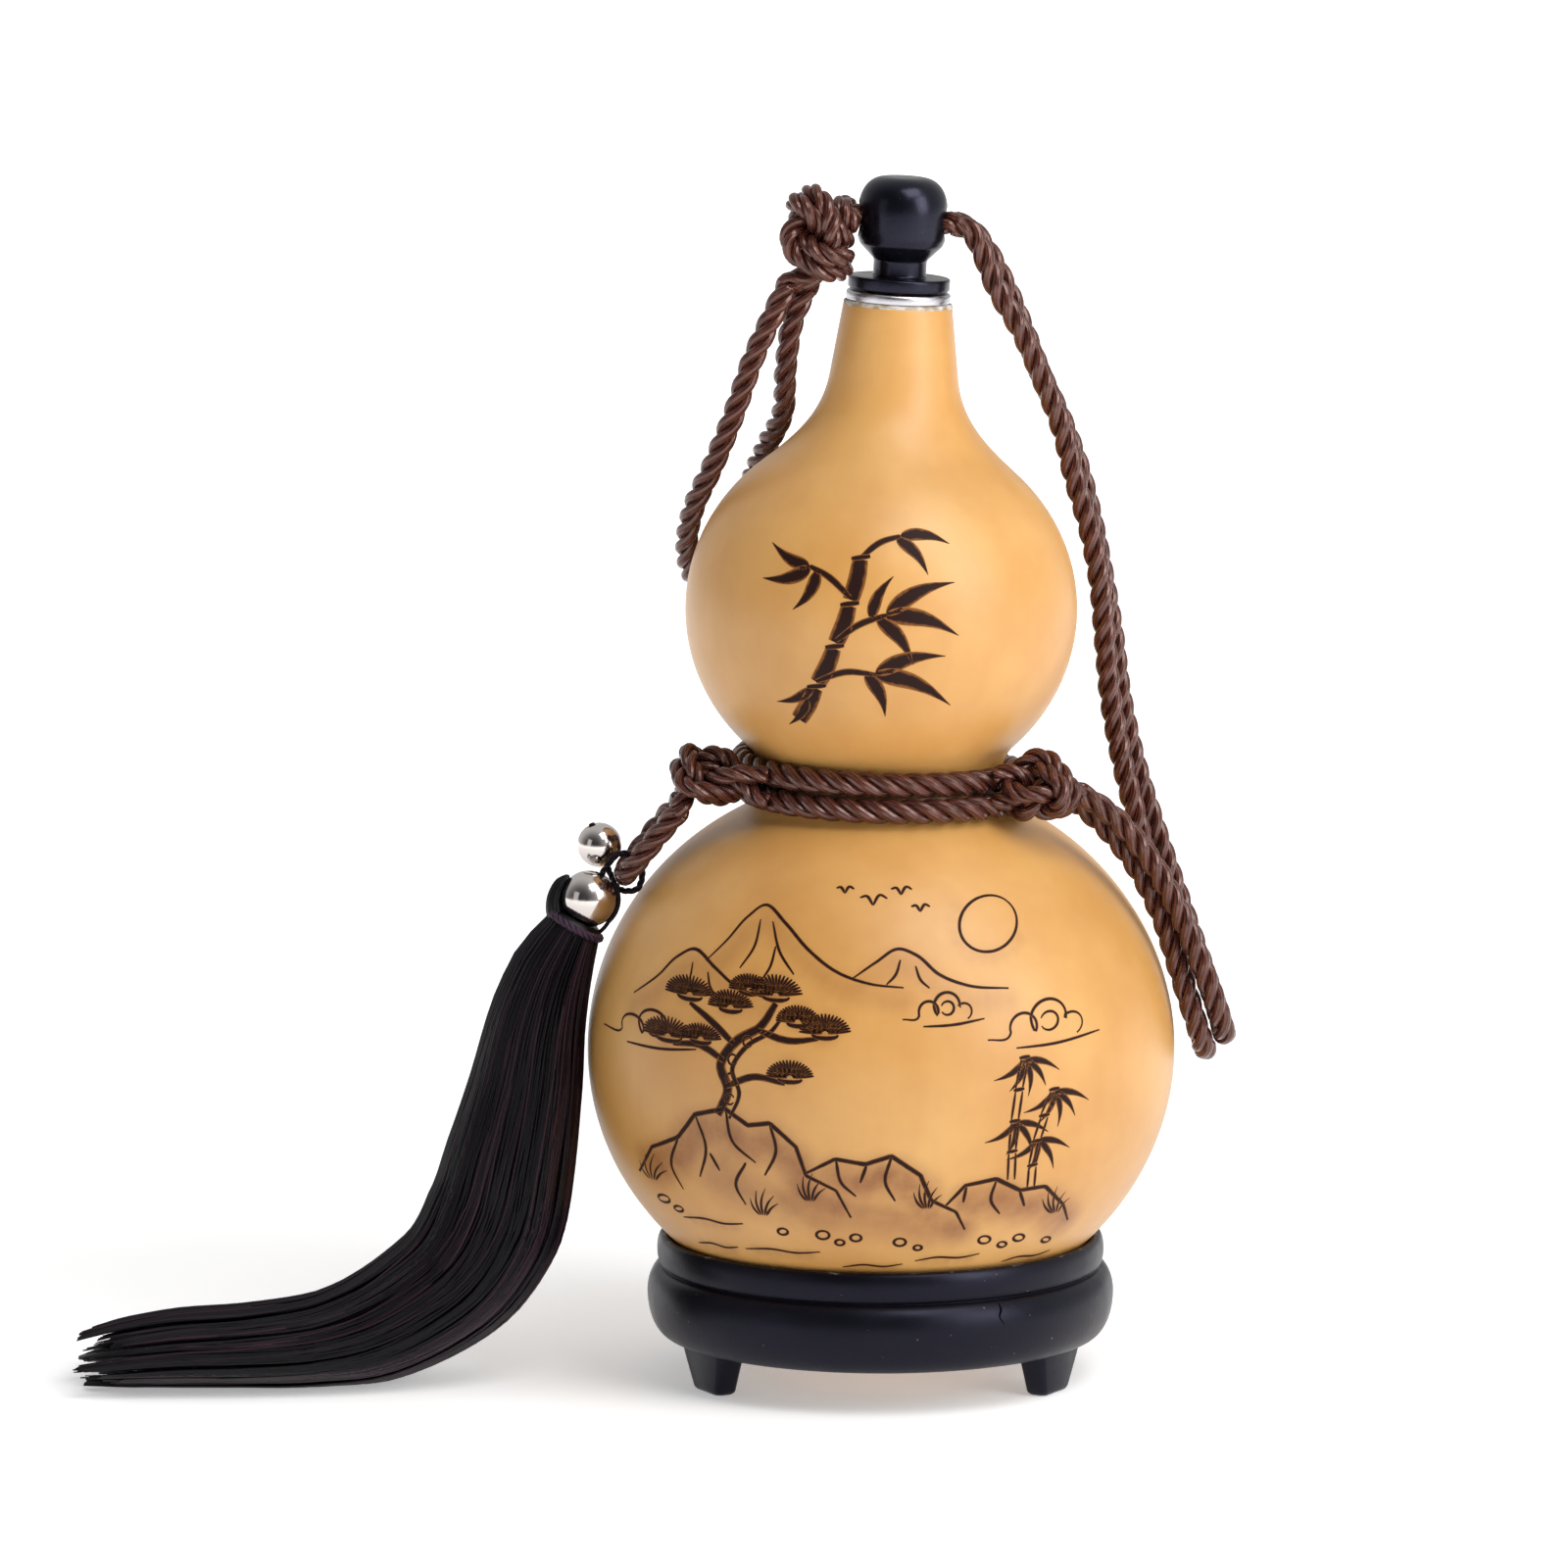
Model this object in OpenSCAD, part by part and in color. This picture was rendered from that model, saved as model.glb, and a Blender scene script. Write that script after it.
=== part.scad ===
// Gourd water bottle on a footed ring stand, with a twisted carrying cord, two beads and a tassel.
// Lengths are millimetres and angles are degrees. +Z is up, +X is right and +Y is away from the viewer.
// The origin is on the ground at the centre of the stand.

/* [Gourd] */
// Widest radius of the lower bulb
lower_bulb_r = 60; // [54:0.5:66]
// Half the height of the lower bulb
lower_bulb_h = 55.8; // [52:0.2:60]
// Widest radius of the upper bulb
upper_bulb_r = 39.8; // [37:0.2:43]
// Half the height of the upper bulb
upper_bulb_h = 38; // [36:0.2:41]
// Height from the middle of the lower bulb to the middle of the upper bulb
bulb_spacing = 90.1; // [88:0.1:93]
// Radius of the hollow round between the two bulbs
waist_fillet_r = 8.5; // [8:0.1:10]
// Thickness of the dried shell
shell_wall = 3.5; // [2.5:0.1:4.5]

/* [Neck] */
// Lean of the neck to the right
neck_lean = 3; // [0:0.5:6]
// Distance from the middle of the upper bulb to the top of the neck
neck_top = 62.7; // [58:0.1:68]
// Distance from the middle of the upper bulb to the root of the neck, where the flare starts
neck_root = 47.5; // [44:0.1:50]
// Radius of the neck at its top
neck_top_r = 11; // [10:0.1:13]
// Radius of the neck at its root
neck_root_r = 13.1; // [12:0.1:15]
// Angle up the upper bulb at which the flare leaves it
flare_angle = 48.3; // [44:0.1:52]
// Pull of the flare's curve along the neck
flare_pull_neck = 9; // [6:0.5:11]
// Pull of the flare's curve along the bulb
flare_pull_bulb = 8; // [5:0.5:10]
// Radius of the bore through the neck
neck_bore_r = 7.5; // [6.8:0.1:8.2]

/* [Mouth ferrule] */
// Height of the ferrule above the neck
ferrule_h = 2.4; // [1.6:0.1:4]
// Outer radius of the ferrule
ferrule_r = 10.6; // [9.5:0.1:11]
// Length of the sleeve inside the neck
sleeve_len = 14; // [8:1:18]
// Wall of the sleeve
sleeve_wall = 0.85; // [0.5:0.05:1.2]
// Glue gap round the sleeve
glue_gap = 0.05; // [0.02:0.01:0.1]
// Rounding of the ferrule's top edge
ferrule_round = 0.8; // [0.3:0.1:1.2]

/* [Stopper] */
// Gap between the ferrule and the stopper's flange
flange_gap = 0.3; // [0.2:0.05:0.6]
// Radius of the flange
flange_r = 10.35; // [9:0.05:12]
// Thickness of the flange
flange_h = 2.6; // [1.6:0.1:4]
// Radius of the stem
stem_r = 5.4; // [4:0.1:7]
// Height of the stem
stem_h = 3.4; // [2:0.1:6]
// Height of the cone from the stem to the knob
cone_h = 3.1; // [2:0.1:5]
// Radius at the knob's lower edge
knob_low_r = 8.5; // [7.5:0.1:8.7]
// Widest radius of the knob
knob_r = 9.15; // [8.8:0.05:10]
// Height from the knob's lower edge to its widest place
knob_rise = 5.5; // [4:0.1:7]
// Height of the rounded top
knob_dome_h = 8.2; // [6:0.1:10]
// Radius of the nearly flat middle of the top
knob_flat_r = 3; // [1:0.1:4]
// How square the knob's shoulder is; at 1 it is round
knob_shoulder = 0.8; // [0.6:0.05:1]
// Radius of the cross hole for the cord
cord_hole_r = 3.6; // [3:0.1:4]
// Radius of the spigot that carries the cork
spigot_r = 3; // [2:0.1:4]
// Length of the cork sleeve
cork_len = 13; // [8:1:16]
// Gap between the cork and the ferrule's sleeve
cork_gap = 0.08; // [0.05:0.01:0.15]

/* [Stand] */
// Height of the ring's top above the ground
stand_h = 29.5; // [26:0.5:34]
// Height of the feet below the ring
foot_h = 8.9; // [6:0.1:12]
// Inner radius of the rim, on which the gourd sits
rim_inner_r = 43.8; // [40:0.1:46]
// Gap between the rim and the gourd, measured level
seat_gap = 0.45; // [0.3:0.05:0.8]
// Width of the rim
rim_w = 2; // [1.5:0.1:3]
// Height of the rim's rounded band
rim_h = 6.4; // [5:0.1:8]
// Depth of the groove under the rim
groove_depth = 1.1; // [0.6:0.1:1.6]
// Widest radius of the moulding
moulding_r = 47.8; // [47:0.1:50]
// Height of the moulding's upper quarter
moulding_up = 5.6; // [4:0.1:7]
// Radius of the ring's lower edge
ring_low_r = 43.6; // [42:0.1:46]
// Radius of the ring's hole
ring_hole_r = 36; // [33:0.5:38]
// Height at which the ring's inner slope meets the hole
ring_step_z = 20; // [16:0.5:24]

/* [Feet] */
// Outer radius at the top of a foot
foot_out_r = 43.2; // [42:0.1:44]
// Inner radius at the top of a foot
foot_in_r = 37; // [36.5:0.1:38.5]
// How far the outer face draws in at the sole
foot_taper = 1.6; // [0:0.1:3]
// Width at the top of a foot
foot_top_w = 16; // [12:0.5:22]
// Width at the sole of a foot
foot_sole_w = 10; // [8:0.5:14]
// Radius of the peg that joins a foot to the ring
peg_r = 2; // [1.5:0.1:2.5]
// Length of the peg
peg_h = 4.5; // [3:0.5:6]
// Glue gap round the peg
peg_gap = 0.1; // [0.05:0.05:0.2]

/* [Cord] */
// Diameter of the twisted cord
cord_d = 4.8; // [4:0.1:5]
// Distance between the middles of two strands that run side by side
pair_spacing = 5; // [5:0.1:6]
// Gap between the waist winding and the gourd
winding_gap = 0.25; // [0.2:0.05:0.5]
// Angle up the waist's hollow at which the winding starts
winding_top_angle = 44; // [42:1:50]
// Angle down the waist's hollow at which the winding ends
winding_low_angle = -64; // [-68:1:-62]
// Reach of a knot from its middle
knot_reach = 7.8; // [7:0.1:8.5]

/* [Beads and tassel] */
// Radius of the small bead
bead_small_r = 4.6; // [3.5:0.1:4.7]
// Radius of the large bead
bead_large_r = 5.8; // [4.5:0.1:5.9]
// Radius of the beads' holes
bead_hole_r = 1.3; // [1.1:0.05:1.8]
// Radius of the tassel's string
string_r = 0.7; // [0.5:0.05:0.8]
// Distance from the middle of the large bead to the top of the tassel's head
head_drop = 6.4; // [6.1:0.1:7]
// Radius of the tassel's head at its top
head_top_r = 5.4; // [4.5:0.1:6.5]
// Radius of the binding thread's band round the head
binding_r = 1; // [0.6:0.1:1.4]

/* [Hidden] */

$fn = 96;
eps = 0.01;
cord_r = cord_d / 2;
// Three feet, this far apart
foot_step = 120;

// Heights of the two bulbs: the lower one sits in the rim
seat_r = rim_inner_r - seat_gap;
lower_z = stand_h + lower_bulb_h * sqrt(1 - pow(seat_r / lower_bulb_r, 2));
upper_z = lower_z + bulb_spacing;

// Stack of the stopper, measured along the leaning neck from the middle of the upper bulb
ferrule_top = neck_top + ferrule_h;
flange_low = ferrule_top + flange_gap;
flange_top = flange_low + flange_h;
stem_top = flange_top + stem_h;
knob_low = stem_top + cone_h;
knob_wide = knob_low + knob_rise;
knob_top = knob_wide + knob_dome_h;
cord_hole_at = knob_wide - 0.8;
sleeve_r = neck_bore_r - glue_gap;
mouth_r = sleeve_r - sleeve_wall;
cork_r = mouth_r - cork_gap;

// Routes of the free cords. The right strap is a pair: after a point's x, y, z comes a vector that
// says which way its second strand lies.
right_route = [
    [14.5, 0, 236.9, 0, 1, 0], [17.8, 0, 235.5, 0, 1, 0], [20.6, 0, 231.4, 0.2, 1, 0],
    [23.6, 0, 225, 0.4, 1, 0], [28.6, 1, 214.8, 0.1, 1, 0], [32.4, 2, 205.6, 0, 1, 0],
    [36.6, 3.5, 195.6, 0.1, 1, 0],
    [39.8, 5, 185.2, 0.3, 1, 0], [42.6, 6.5, 175, 0.2, 1, 0], [45, 8, 163, 0.2, 1, 0],
    [46.6, 9, 151, 0.4, 1, 0], [48, 10, 139, 0.5, 1, 0], [50.6, 11, 126, 0.6, 1, 0],
    [54.2, 12, 113, 0.8, 1, 0], [57.8, 13, 101, 1, 0.8, 0], [61.6, 13.5, 89, 1, 0.4, 0],
    [65, 13, 78.6, 1, 0.1, 0.3], [67.4, 9.5, 71.6, 1, 0, 0.6], [68.4, 3, 68.8, 1, 0, 0.9],
    [67.8, -4, 70.8, 1, 0, 0.6], [66, -8, 76.8, 1, -0.1, 0.3], [62.6, -9.5, 87, 1, -0.5, 0],
    [58, -10.5, 98.6, 1, -0.8, 0], [52, -12, 109.4, 0.8, -1, 0.4], [44.6, -14, 118, 0.4, -1, 0.6],
    [38.6, -16, 122.6, 0.2, -1, 0.5]];
left_near_route = [
    [-15, -4, 224.5], [-17.8, -3, 218], [-19.4, 0, 208],
    [-20, 6, 198], [-23.4, 15, 189.6], [-26.6, 25.6, 180],
    [-25, 34.6, 168.6], [-20, 40, 156], [-14, 40, 144],
    [-8.6, 37.6, 134]];
left_far_route = [
    [-19, -7.2, 225.2], [-22, -7, 219], [-26, -6, 210],
    [-29.6, -4, 199.4], [-34, 0, 188], [-38.4, 6, 177.6],
    [-39.6, 14.6, 167], [-35.6, 24.6, 157], [-29, 31, 147],
    [-21.6, 34.4, 137], [-14.6, 36, 128.6]];
tail_route = [
    [-41, -15, 119], [-45.4, -13.6, 113.6], [-49.4, -11.8, 108.4],
    [-51.6, -9.4, 105.6], [-52.2, -6, 104.6], [-51.6, -2.6, 105.6],
    [-49.4, -0.6, 108.4], [-45.6, 0, 113.4], [-42.6, -1.6, 117.2],
    [-40.4, -4.4, 120]];

// Places of the beads, the tail's loop and the tassel
bead_small_at = [-57.4, -0.4, 109.7];
bead_large_at = [-59.5, -6, 99.5];
bead_small_tilt = -20;
head_tilt = 27.8;
// The string runs from above the small bead, once round the tail's loop and down through the large bead
string_route = [
    [-59.3, -0.4, 115], [-57.4, -0.4, 109.7], [-55.5, -0.4, 104.5], [-52.6, -4.6, 101],
    [-49.6, -6, 101.6], [-48.6, -6, 105], [-50, -6, 108.2], [-53.2, -6, 108.8], [-56.4, -6, 105.3],
    [-59.5, -6, 99.5], [-62.3, -6, 94.2]];
// Middle line of the tassel's yarn: x, y, z, half its depth and half its height
skirt_route = [
    [-69.4, -6, 77.4, 9, 9], [-72.6, -6.4, 60.2, 10.6, 10.6], [-75.6, -7, 46.2, 12.2, 12.2],
    [-79, -7.6, 33.4, 13, 13.2], [-85, -8.4, 23.4, 14, 12.6], [-94, -9, 16.4, 15, 11.6],
    [-104, -9.4, 11.4, 16, 10.4], [-114, -9.6, 9, 17, 8.6], [-131, -9.8, 7.6, 18, 7.4],
    [-143, -9.8, 7.2, 18, 7], [-155, -9.8, 6.2, 18, 6], [-164, -9.8, 5, 17, 4.6]];

// ---- Shapes of the gourd ----

function ellipse_point(a, b, z, t) = [a * cos(t), z + b * sin(t)];
function ellipse_normal(a, b, t) = let (n = [b * cos(t), a * sin(t)]) n / norm(n);
// Middle of a circle of radius f that touches the ellipse from outside at angle t
function touching(a, b, z, f, t) = ellipse_point(a, b, z, t) + f * ellipse_normal(a, b, t);
// Angle between lo and hi at which the touching circle's middle is at height h
function touch_angle(a, b, z, f, h, lo, hi, n = 40) =
    n == 0 ? (lo + hi) / 2
    : let (m = (lo + hi) / 2)
      touching(a, b, z, f, m)[1] < h ? touch_angle(a, b, z, f, h, m, hi, n - 1)
                                     : touch_angle(a, b, z, f, h, lo, m, n - 1);
function lower_touch(w, h) =
    touch_angle(lower_bulb_r - w, lower_bulb_h - w, lower_z, waist_fillet_r + w, h, 0, 90);
function upper_touch(w, h) =
    touch_angle(upper_bulb_r - w, upper_bulb_h - w, upper_z, waist_fillet_r + w, h, -90, 0);
function lower_middle(w, h) =
    touching(lower_bulb_r - w, lower_bulb_h - w, lower_z, waist_fillet_r + w, lower_touch(w, h));
function upper_middle(w, h) =
    touching(upper_bulb_r - w, upper_bulb_h - w, upper_z, waist_fillet_r + w, upper_touch(w, h));
// Height at which one circle touches both bulbs, on the outside (w = 0) or the inside of the wall
function waist_height(w, lo, hi, n = 40) =
    n == 0 ? (lo + hi) / 2
    : let (m = (lo + hi) / 2)
      lower_middle(w, m)[0] > upper_middle(w, m)[0] ? waist_height(w, m, hi, n - 1)
                                                    : waist_height(w, lo, m, n - 1);
function waist_z(w) = waist_height(w, lower_z + lower_bulb_h * 0.7, upper_z - upper_bulb_h * 0.5);

// Half outline of the two bulbs and the waist, drawn in by w
function gourd_outline(w) =
    let (h = waist_z(w), t1 = lower_touch(w, h), t2 = upper_touch(w, h), f = waist_fillet_r + w,
         middle = lower_middle(w, h),
         n1 = ellipse_normal(lower_bulb_r - w, lower_bulb_h - w, t1),
         n2 = ellipse_normal(upper_bulb_r - w, upper_bulb_h - w, t2),
         a1 = atan2(-n1[1], -n1[0]) + 360, a2 = atan2(-n2[1], -n2[0]))
    concat(
        [for (t = [-90:5:-5]) ellipse_point(lower_bulb_r - w, lower_bulb_h - w, lower_z, t)],
        [for (i = [0:12]) ellipse_point(lower_bulb_r - w, lower_bulb_h - w, lower_z, t1 * i / 12)],
        [for (i = [1:9]) middle + f * [cos(a1 + (a2 - a1) * i / 10), sin(a1 + (a2 - a1) * i / 10)]],
        [for (i = [0:8]) ellipse_point(upper_bulb_r - w, upper_bulb_h - w, upper_z, t2 * (1 - i / 9))],
        [for (t = [0:5:90]) ellipse_point(upper_bulb_r - w, upper_bulb_h - w, upper_z, t)]);

function bezier(p, q, r, s, n) =
    [for (i = [0:n]) let (u = i / n, v = 1 - u)
        v * v * v * p + 3 * v * v * u * q + 3 * v * u * u * r + u * u * u * s];

// Puts its children on the leaning axis of the neck, with z = 0 at the middle of the upper bulb
module on_neck() {
    translate([0, 0, upper_z]) rotate([0, neck_lean, 0]) children();
}

// Half outline of the neck and its flare, which starts just under the bulb's surface
module neck_outline() {
    sink = 0.15;
    bulb_side = ellipse_point(upper_bulb_r - sink, upper_bulb_h - sink, 0, flare_angle);
    along_bulb = let (n = ellipse_normal(upper_bulb_r, upper_bulb_h, flare_angle)) [-n[1], n[0]];
    root = [neck_root_r, neck_root];
    along_neck = let (d = [neck_root_r - neck_top_r, neck_root - neck_top]) d / norm(d);
    flare = bezier(bulb_side, bulb_side + flare_pull_bulb * along_bulb,
                   root + flare_pull_neck * along_neck, root, 12);
    polygon(concat([[0, bulb_side[1] - 8]], flare, [[neck_top_r, neck_top], [0, neck_top]]));
}

module gourd_shell() {
    color([0.86, 0.66, 0.38])
    difference() {
        union() {
            rotate_extrude() polygon(gourd_outline(0));
            on_neck() rotate_extrude() neck_outline();
        }
        rotate_extrude() polygon(gourd_outline(shell_wall));
        on_neck() translate([0, 0, upper_bulb_h / 2]) cylinder(r = neck_bore_r, h = neck_top);
    }
}

module mouth_ferrule() {
    color([0.78, 0.78, 0.8])
    on_neck() rotate_extrude() polygon([
        [mouth_r, neck_top - sleeve_len], [sleeve_r, neck_top - sleeve_len], [sleeve_r, neck_top],
        [ferrule_r, neck_top], [ferrule_r, ferrule_top - ferrule_round],
        for (a = [15:15:90])
            [ferrule_r - ferrule_round * (1 - cos(a)), ferrule_top - ferrule_round * (1 - sin(a))],
        [mouth_r, ferrule_top]]);
}

// ---- Stopper ----

module stopper_knob() {
    edge = 0.5;
    color([0.1, 0.1, 0.12])
    on_neck() difference() {
        rotate_extrude() polygon([
            [0, flange_low - cork_len], [spigot_r, flange_low - cork_len], [spigot_r, flange_low],
            [flange_r - edge, flange_low], [flange_r, flange_low + edge],
            [flange_r, flange_top - edge], [flange_r - edge, flange_top],
            [stem_r + edge, flange_top], [stem_r, flange_top + edge],
            [stem_r, stem_top], [knob_low_r, knob_low],
            for (a = [-60:15:0])
                [knob_low_r + (knob_r - knob_low_r) * cos(a), knob_wide + knob_rise * sin(a)],
            for (a = [9:9:90])
                [knob_flat_r + (knob_r - knob_flat_r) * pow(cos(a), knob_shoulder),
                 knob_wide + knob_dome_h * pow(sin(a), knob_shoulder)],
            [0, knob_top]]);
        translate([0, 0, cord_hole_at]) rotate([0, 90, 0])
            cylinder(r = cord_hole_r, h = 3 * knob_r, center = true);
    }
}

module stopper_cork() {
    color([0.72, 0.56, 0.38])
    on_neck() translate([0, 0, flange_low - cork_len]) difference() {
        cylinder(r = cork_r, h = cork_len - eps);
        translate([0, 0, -1]) cylinder(r = spigot_r + eps, h = cork_len + 2);
    }
}

// ---- Stand ----

module stand_ring() {
    rim_r = rim_inner_r + rim_w;
    groove_r = rim_r - groove_depth;
    groove_z = stand_h - rim_h;
    wide_z = groove_z - moulding_up;
    low_h = wide_z - foot_h;
    color([0.12, 0.12, 0.14])
    difference() {
        rotate_extrude($fn = 180) polygon([
            [ring_hole_r, foot_h], [ring_low_r, foot_h],
            for (a = [-80:10:0])
                [ring_low_r + (moulding_r - ring_low_r) * cos(a), wide_z + low_h * sin(a)],
            for (a = [12:12:84])
                [groove_r + (moulding_r - groove_r) * cos(a), wide_z + moulding_up * sin(a)],
            for (a = [-75:15:75])
                [groove_r + groove_depth * cos(a), groove_z + rim_h / 2 * (1 + sin(a))],
            [groove_r, stand_h], [rim_inner_r, stand_h],
            [ring_hole_r + 1, ring_step_z]]);
        each_foot() translate([foot_mid_r, 0, foot_h - 1]) cylinder(r = peg_r + peg_gap, h = peg_h + 1.2);
    }
}

foot_mid_r = (foot_in_r + foot_out_r) / 2;
left_foot_angle = -90 - foot_step / 2;

module each_foot() {
    for (i = [0:2]) rotate([0, 0, left_foot_angle + i * foot_step]) children();
}

// A foot along +X: curved faces from a turned outline, cut to a tapering width
module foot() {
    union() {
        intersection() {
            rotate_extrude($fn = 180) polygon([
                [foot_in_r, 0], [foot_out_r - foot_taper, 0], [foot_out_r, foot_h], [foot_in_r, foot_h]]);
            rotate([90, 0, 90]) linear_extrude(height = foot_out_r + 5) polygon([
                [-foot_sole_w / 2, 0], [foot_sole_w / 2, 0], [foot_top_w / 2, foot_h],
                [-foot_top_w / 2, foot_h]]);
        }
        translate([foot_mid_r, 0, foot_h - 1]) cylinder(r = peg_r, h = peg_h + 1);
    }
}

module stand_foot_left() { color([0.1, 0.1, 0.12]) rotate([0, 0, left_foot_angle]) foot(); }
module stand_foot_right() { color([0.1, 0.1, 0.12]) rotate([0, 0, left_foot_angle + foot_step]) foot(); }
module stand_foot_back() { color([0.1, 0.1, 0.12]) rotate([0, 0, left_foot_angle + 2 * foot_step]) foot(); }

// ---- Cords ----

cord_color = [0.25, 0.13, 0.1];

function unit(v) = v / norm(v);
function square_to(v, t) = unit(v - (v * t) * t);
function heading(p, i) = unit(p[min(i + 1, len(p) - 1)] - p[max(i - 1, 0)]);
// A direction across the route at each point, carried along it without turning
function across(p, first) =
    [for (i = 0, s = square_to(first, heading(p, 0)); i < len(p);
          i = i + 1, s = i < len(p) ? square_to(s, heading(p, i)) : s) s];

// A tube of triangles along points p, with half width w[i] across and half height h[i]
module swept(p, w, h, sides, first) {
    n = len(p);
    s = across(p, first);
    points = [for (i = [0:n - 1]) let (u = cross(heading(p, i), s[i]))
        for (j = [0:sides - 1]) let (a = 360 * j / sides)
            p[i] + w[i] * cos(a) * s[i] + h[i] * sin(a) * u];
    walls = [for (i = [0:n - 2]) for (j = [0:sides - 1])
        let (k = (j + 1) % sides, a = i * sides + j, b = i * sides + k)
            each [[a, b, b + sides], [a, b + sides, a + sides]]];
    caps = [for (j = [1:sides - 2]) each [[0, j + 1, j],
        [(n - 1) * sides, (n - 1) * sides + j, (n - 1) * sides + j + 1]]];
    polyhedron(points, [for (f = concat(walls, caps)) [f[0], f[2], f[1]]]);
}

module cord(route, r = cord_r, sides = 8, first = [0, 1, 0]) {
    same = [for (p = route) r];
    color(cord_color) swept(route, same, same, sides, first);
}

function place(p) = [p[0], p[1], p[2]];
// One strand of a pair: side is 1 or -1
function strand(route, side) =
    let (mid = [for (p = route) place(p)])
    [for (i = [0:len(route) - 1]) let (v = [route[i][3], route[i][4], route[i][5]])
        mid[i] + side * pair_spacing / 2 * square_to(v, heading(mid, i))];

module strap_right_near() { cord(strand(right_route, -1)); }
module strap_right_far() { cord(strand(right_route, 1)); }
module strap_left_near() { cord(left_near_route); }
module strap_left_far() { cord(left_far_route); }
module tail_cord() { cord(tail_route, first = [1, 0, 0]); }

// The winding lies in the waist's hollow: its middle runs on a smaller arc inside the fillet's arc
hollow_z = waist_z(0);
hollow_r = lower_middle(0, hollow_z)[0];
winding_arc = waist_fillet_r - cord_r - winding_gap;
winding_turns = 2;
winding_rings = 24 * winding_turns;
winding_start = 100;
function winding_point(u) =
    let (a = winding_top_angle + (winding_low_angle - winding_top_angle) * u,
         turn = winding_start + 360 * winding_turns * u, r = hollow_r - winding_arc * cos(a))
    [r * cos(turn), r * sin(turn), hollow_z + winding_arc * sin(a)];
winding_coil = [for (i = [0:winding_rings]) winding_point(i / winding_rings)];
winding_route = concat(
    [winding_coil[0] - cord_d * unit(winding_coil[1] - winding_coil[0])], winding_coil,
    [winding_coil[winding_rings]
     + cord_d * unit(winding_coil[winding_rings] - winding_coil[winding_rings - 1])]);
// Least gap between one turn and the next
winding_self_gap = min([for (i = [0:winding_rings - 24]) for (j = [i + 18:min(i + 30, winding_rings)])
    norm(winding_coil[i] - winding_coil[j])]) - cord_d;
echo(winding_self_gap = winding_self_gap);

module waist_winding() {
    cord(winding_route, sides = 6, first = [0, 0, 1]);
}

// A knot of the doubled cord: one rounded lobe for each bight, all meeting in the middle
module knot(lobe_out) {
    lobe_r = cord_d;
    sphere(r = lobe_r + 0.6);
    for (lobe = [[0, 0], [72, 20], [150, -15], [215, 25], [290, -20]])
        rotate([lobe[1], lobe[0], 0]) translate([lobe_out - lobe_r, 0, 0]) sphere(r = lobe_r);
}

winding_mid_r = hollow_r - winding_arc;
module waist_knot(angle, out, drop) {
    color(cord_color)
    rotate([0, 0, angle]) translate([winding_mid_r + out, 0, hollow_z - drop]) knot(knot_reach);
}
module waist_knot_left() { waist_knot(199, 10.6, 1); }
module waist_knot_right() { waist_knot(-29, 9.4, 1.6); }
module waist_knot_back() { waist_knot(winding_start, 8.8, 0.4); }

// The doubled cord in the knob's cross hole: it reaches into the knot and ends short of the straps
knot_gap = 0.7;
module knob_cord() {
    into_knot = 0.6;
    short = 0.3;
    color(cord_color)
    on_neck() translate([-knob_r - knot_gap - into_knot, 0, cord_hole_at]) rotate([0, 90, 0])
        cylinder(r = cord_hole_r - 0.15, h = 2 * knob_r + knot_gap + into_knot - short);
}

module knob_knot() {
    color(cord_color)
    difference() {
        union() {
            translate([-13.4, -4, 232.8]) knot(knot_reach);
            translate([-10.2, -4, 240.4]) sphere(r = 6.4);
        }
        on_neck() translate([0, 0, flange_low])
            cylinder(r = knob_r + knot_gap, h = 2 * knob_top - 2 * flange_low);
    }
}

// ---- Beads and tassel ----

module bead(at, r, tilt) {
    color([0.85, 0.84, 0.84])
    translate(at) rotate([0, tilt, 0]) difference() {
        sphere(r = r);
        cylinder(r = bead_hole_r, h = 3 * r, center = true);
    }
}
module bead_small() { bead(bead_small_at, bead_small_r, bead_small_tilt); }
module bead_large() { bead(bead_large_at, bead_large_r, head_tilt); }

head_axis = [sin(head_tilt), 0, cos(head_tilt)];
head_top_at = bead_large_at - head_drop * head_axis;
module bead_string() { color([0.06, 0.05, 0.07]) cord(string_route, r = string_r); }

yarn_color = [0.07, 0.06, 0.08];
skirt_top = place(skirt_route[0]);
module tassel_head() {
    mid = (head_top_at + skirt_top) / 2 - [1, 0, 0.5];
    color(yarn_color)
    swept([head_top_at, head_top_at - 2 * head_axis, mid, skirt_top],
          [head_top_r, head_top_r + 0.8, 8, skirt_route[0][3]],
          [head_top_r, head_top_r + 0.8, 8, skirt_route[0][4]], 16, [0, 1, 0]);
}
module tassel_binding() {
    color([0.16, 0.12, 0.18])
    translate(head_top_at - (binding_r + 0.6) * head_axis) rotate([0, head_tilt, 0])
        rotate_extrude() translate([head_top_r + binding_r + 0.6, 0]) circle(r = binding_r, $fn = 24);
}
module tassel_skirt() {
    color(yarn_color)
    swept([for (p = skirt_route) place(p)], [for (p = skirt_route) p[3]],
          [for (p = skirt_route) p[4]], 20, [0, 1, 0]);
}

stand_ring();
stand_foot_left();
stand_foot_right();
stand_foot_back();
gourd_shell();
mouth_ferrule();
stopper_knob();
stopper_cork();
knob_cord();
knob_knot();
strap_right_near();
strap_right_far();
strap_left_near();
strap_left_far();
waist_winding();
waist_knot_left();
waist_knot_right();
waist_knot_back();
tail_cord();
bead_small();
bead_large();
bead_string();
tassel_head();
tassel_binding();
tassel_skirt();
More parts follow.
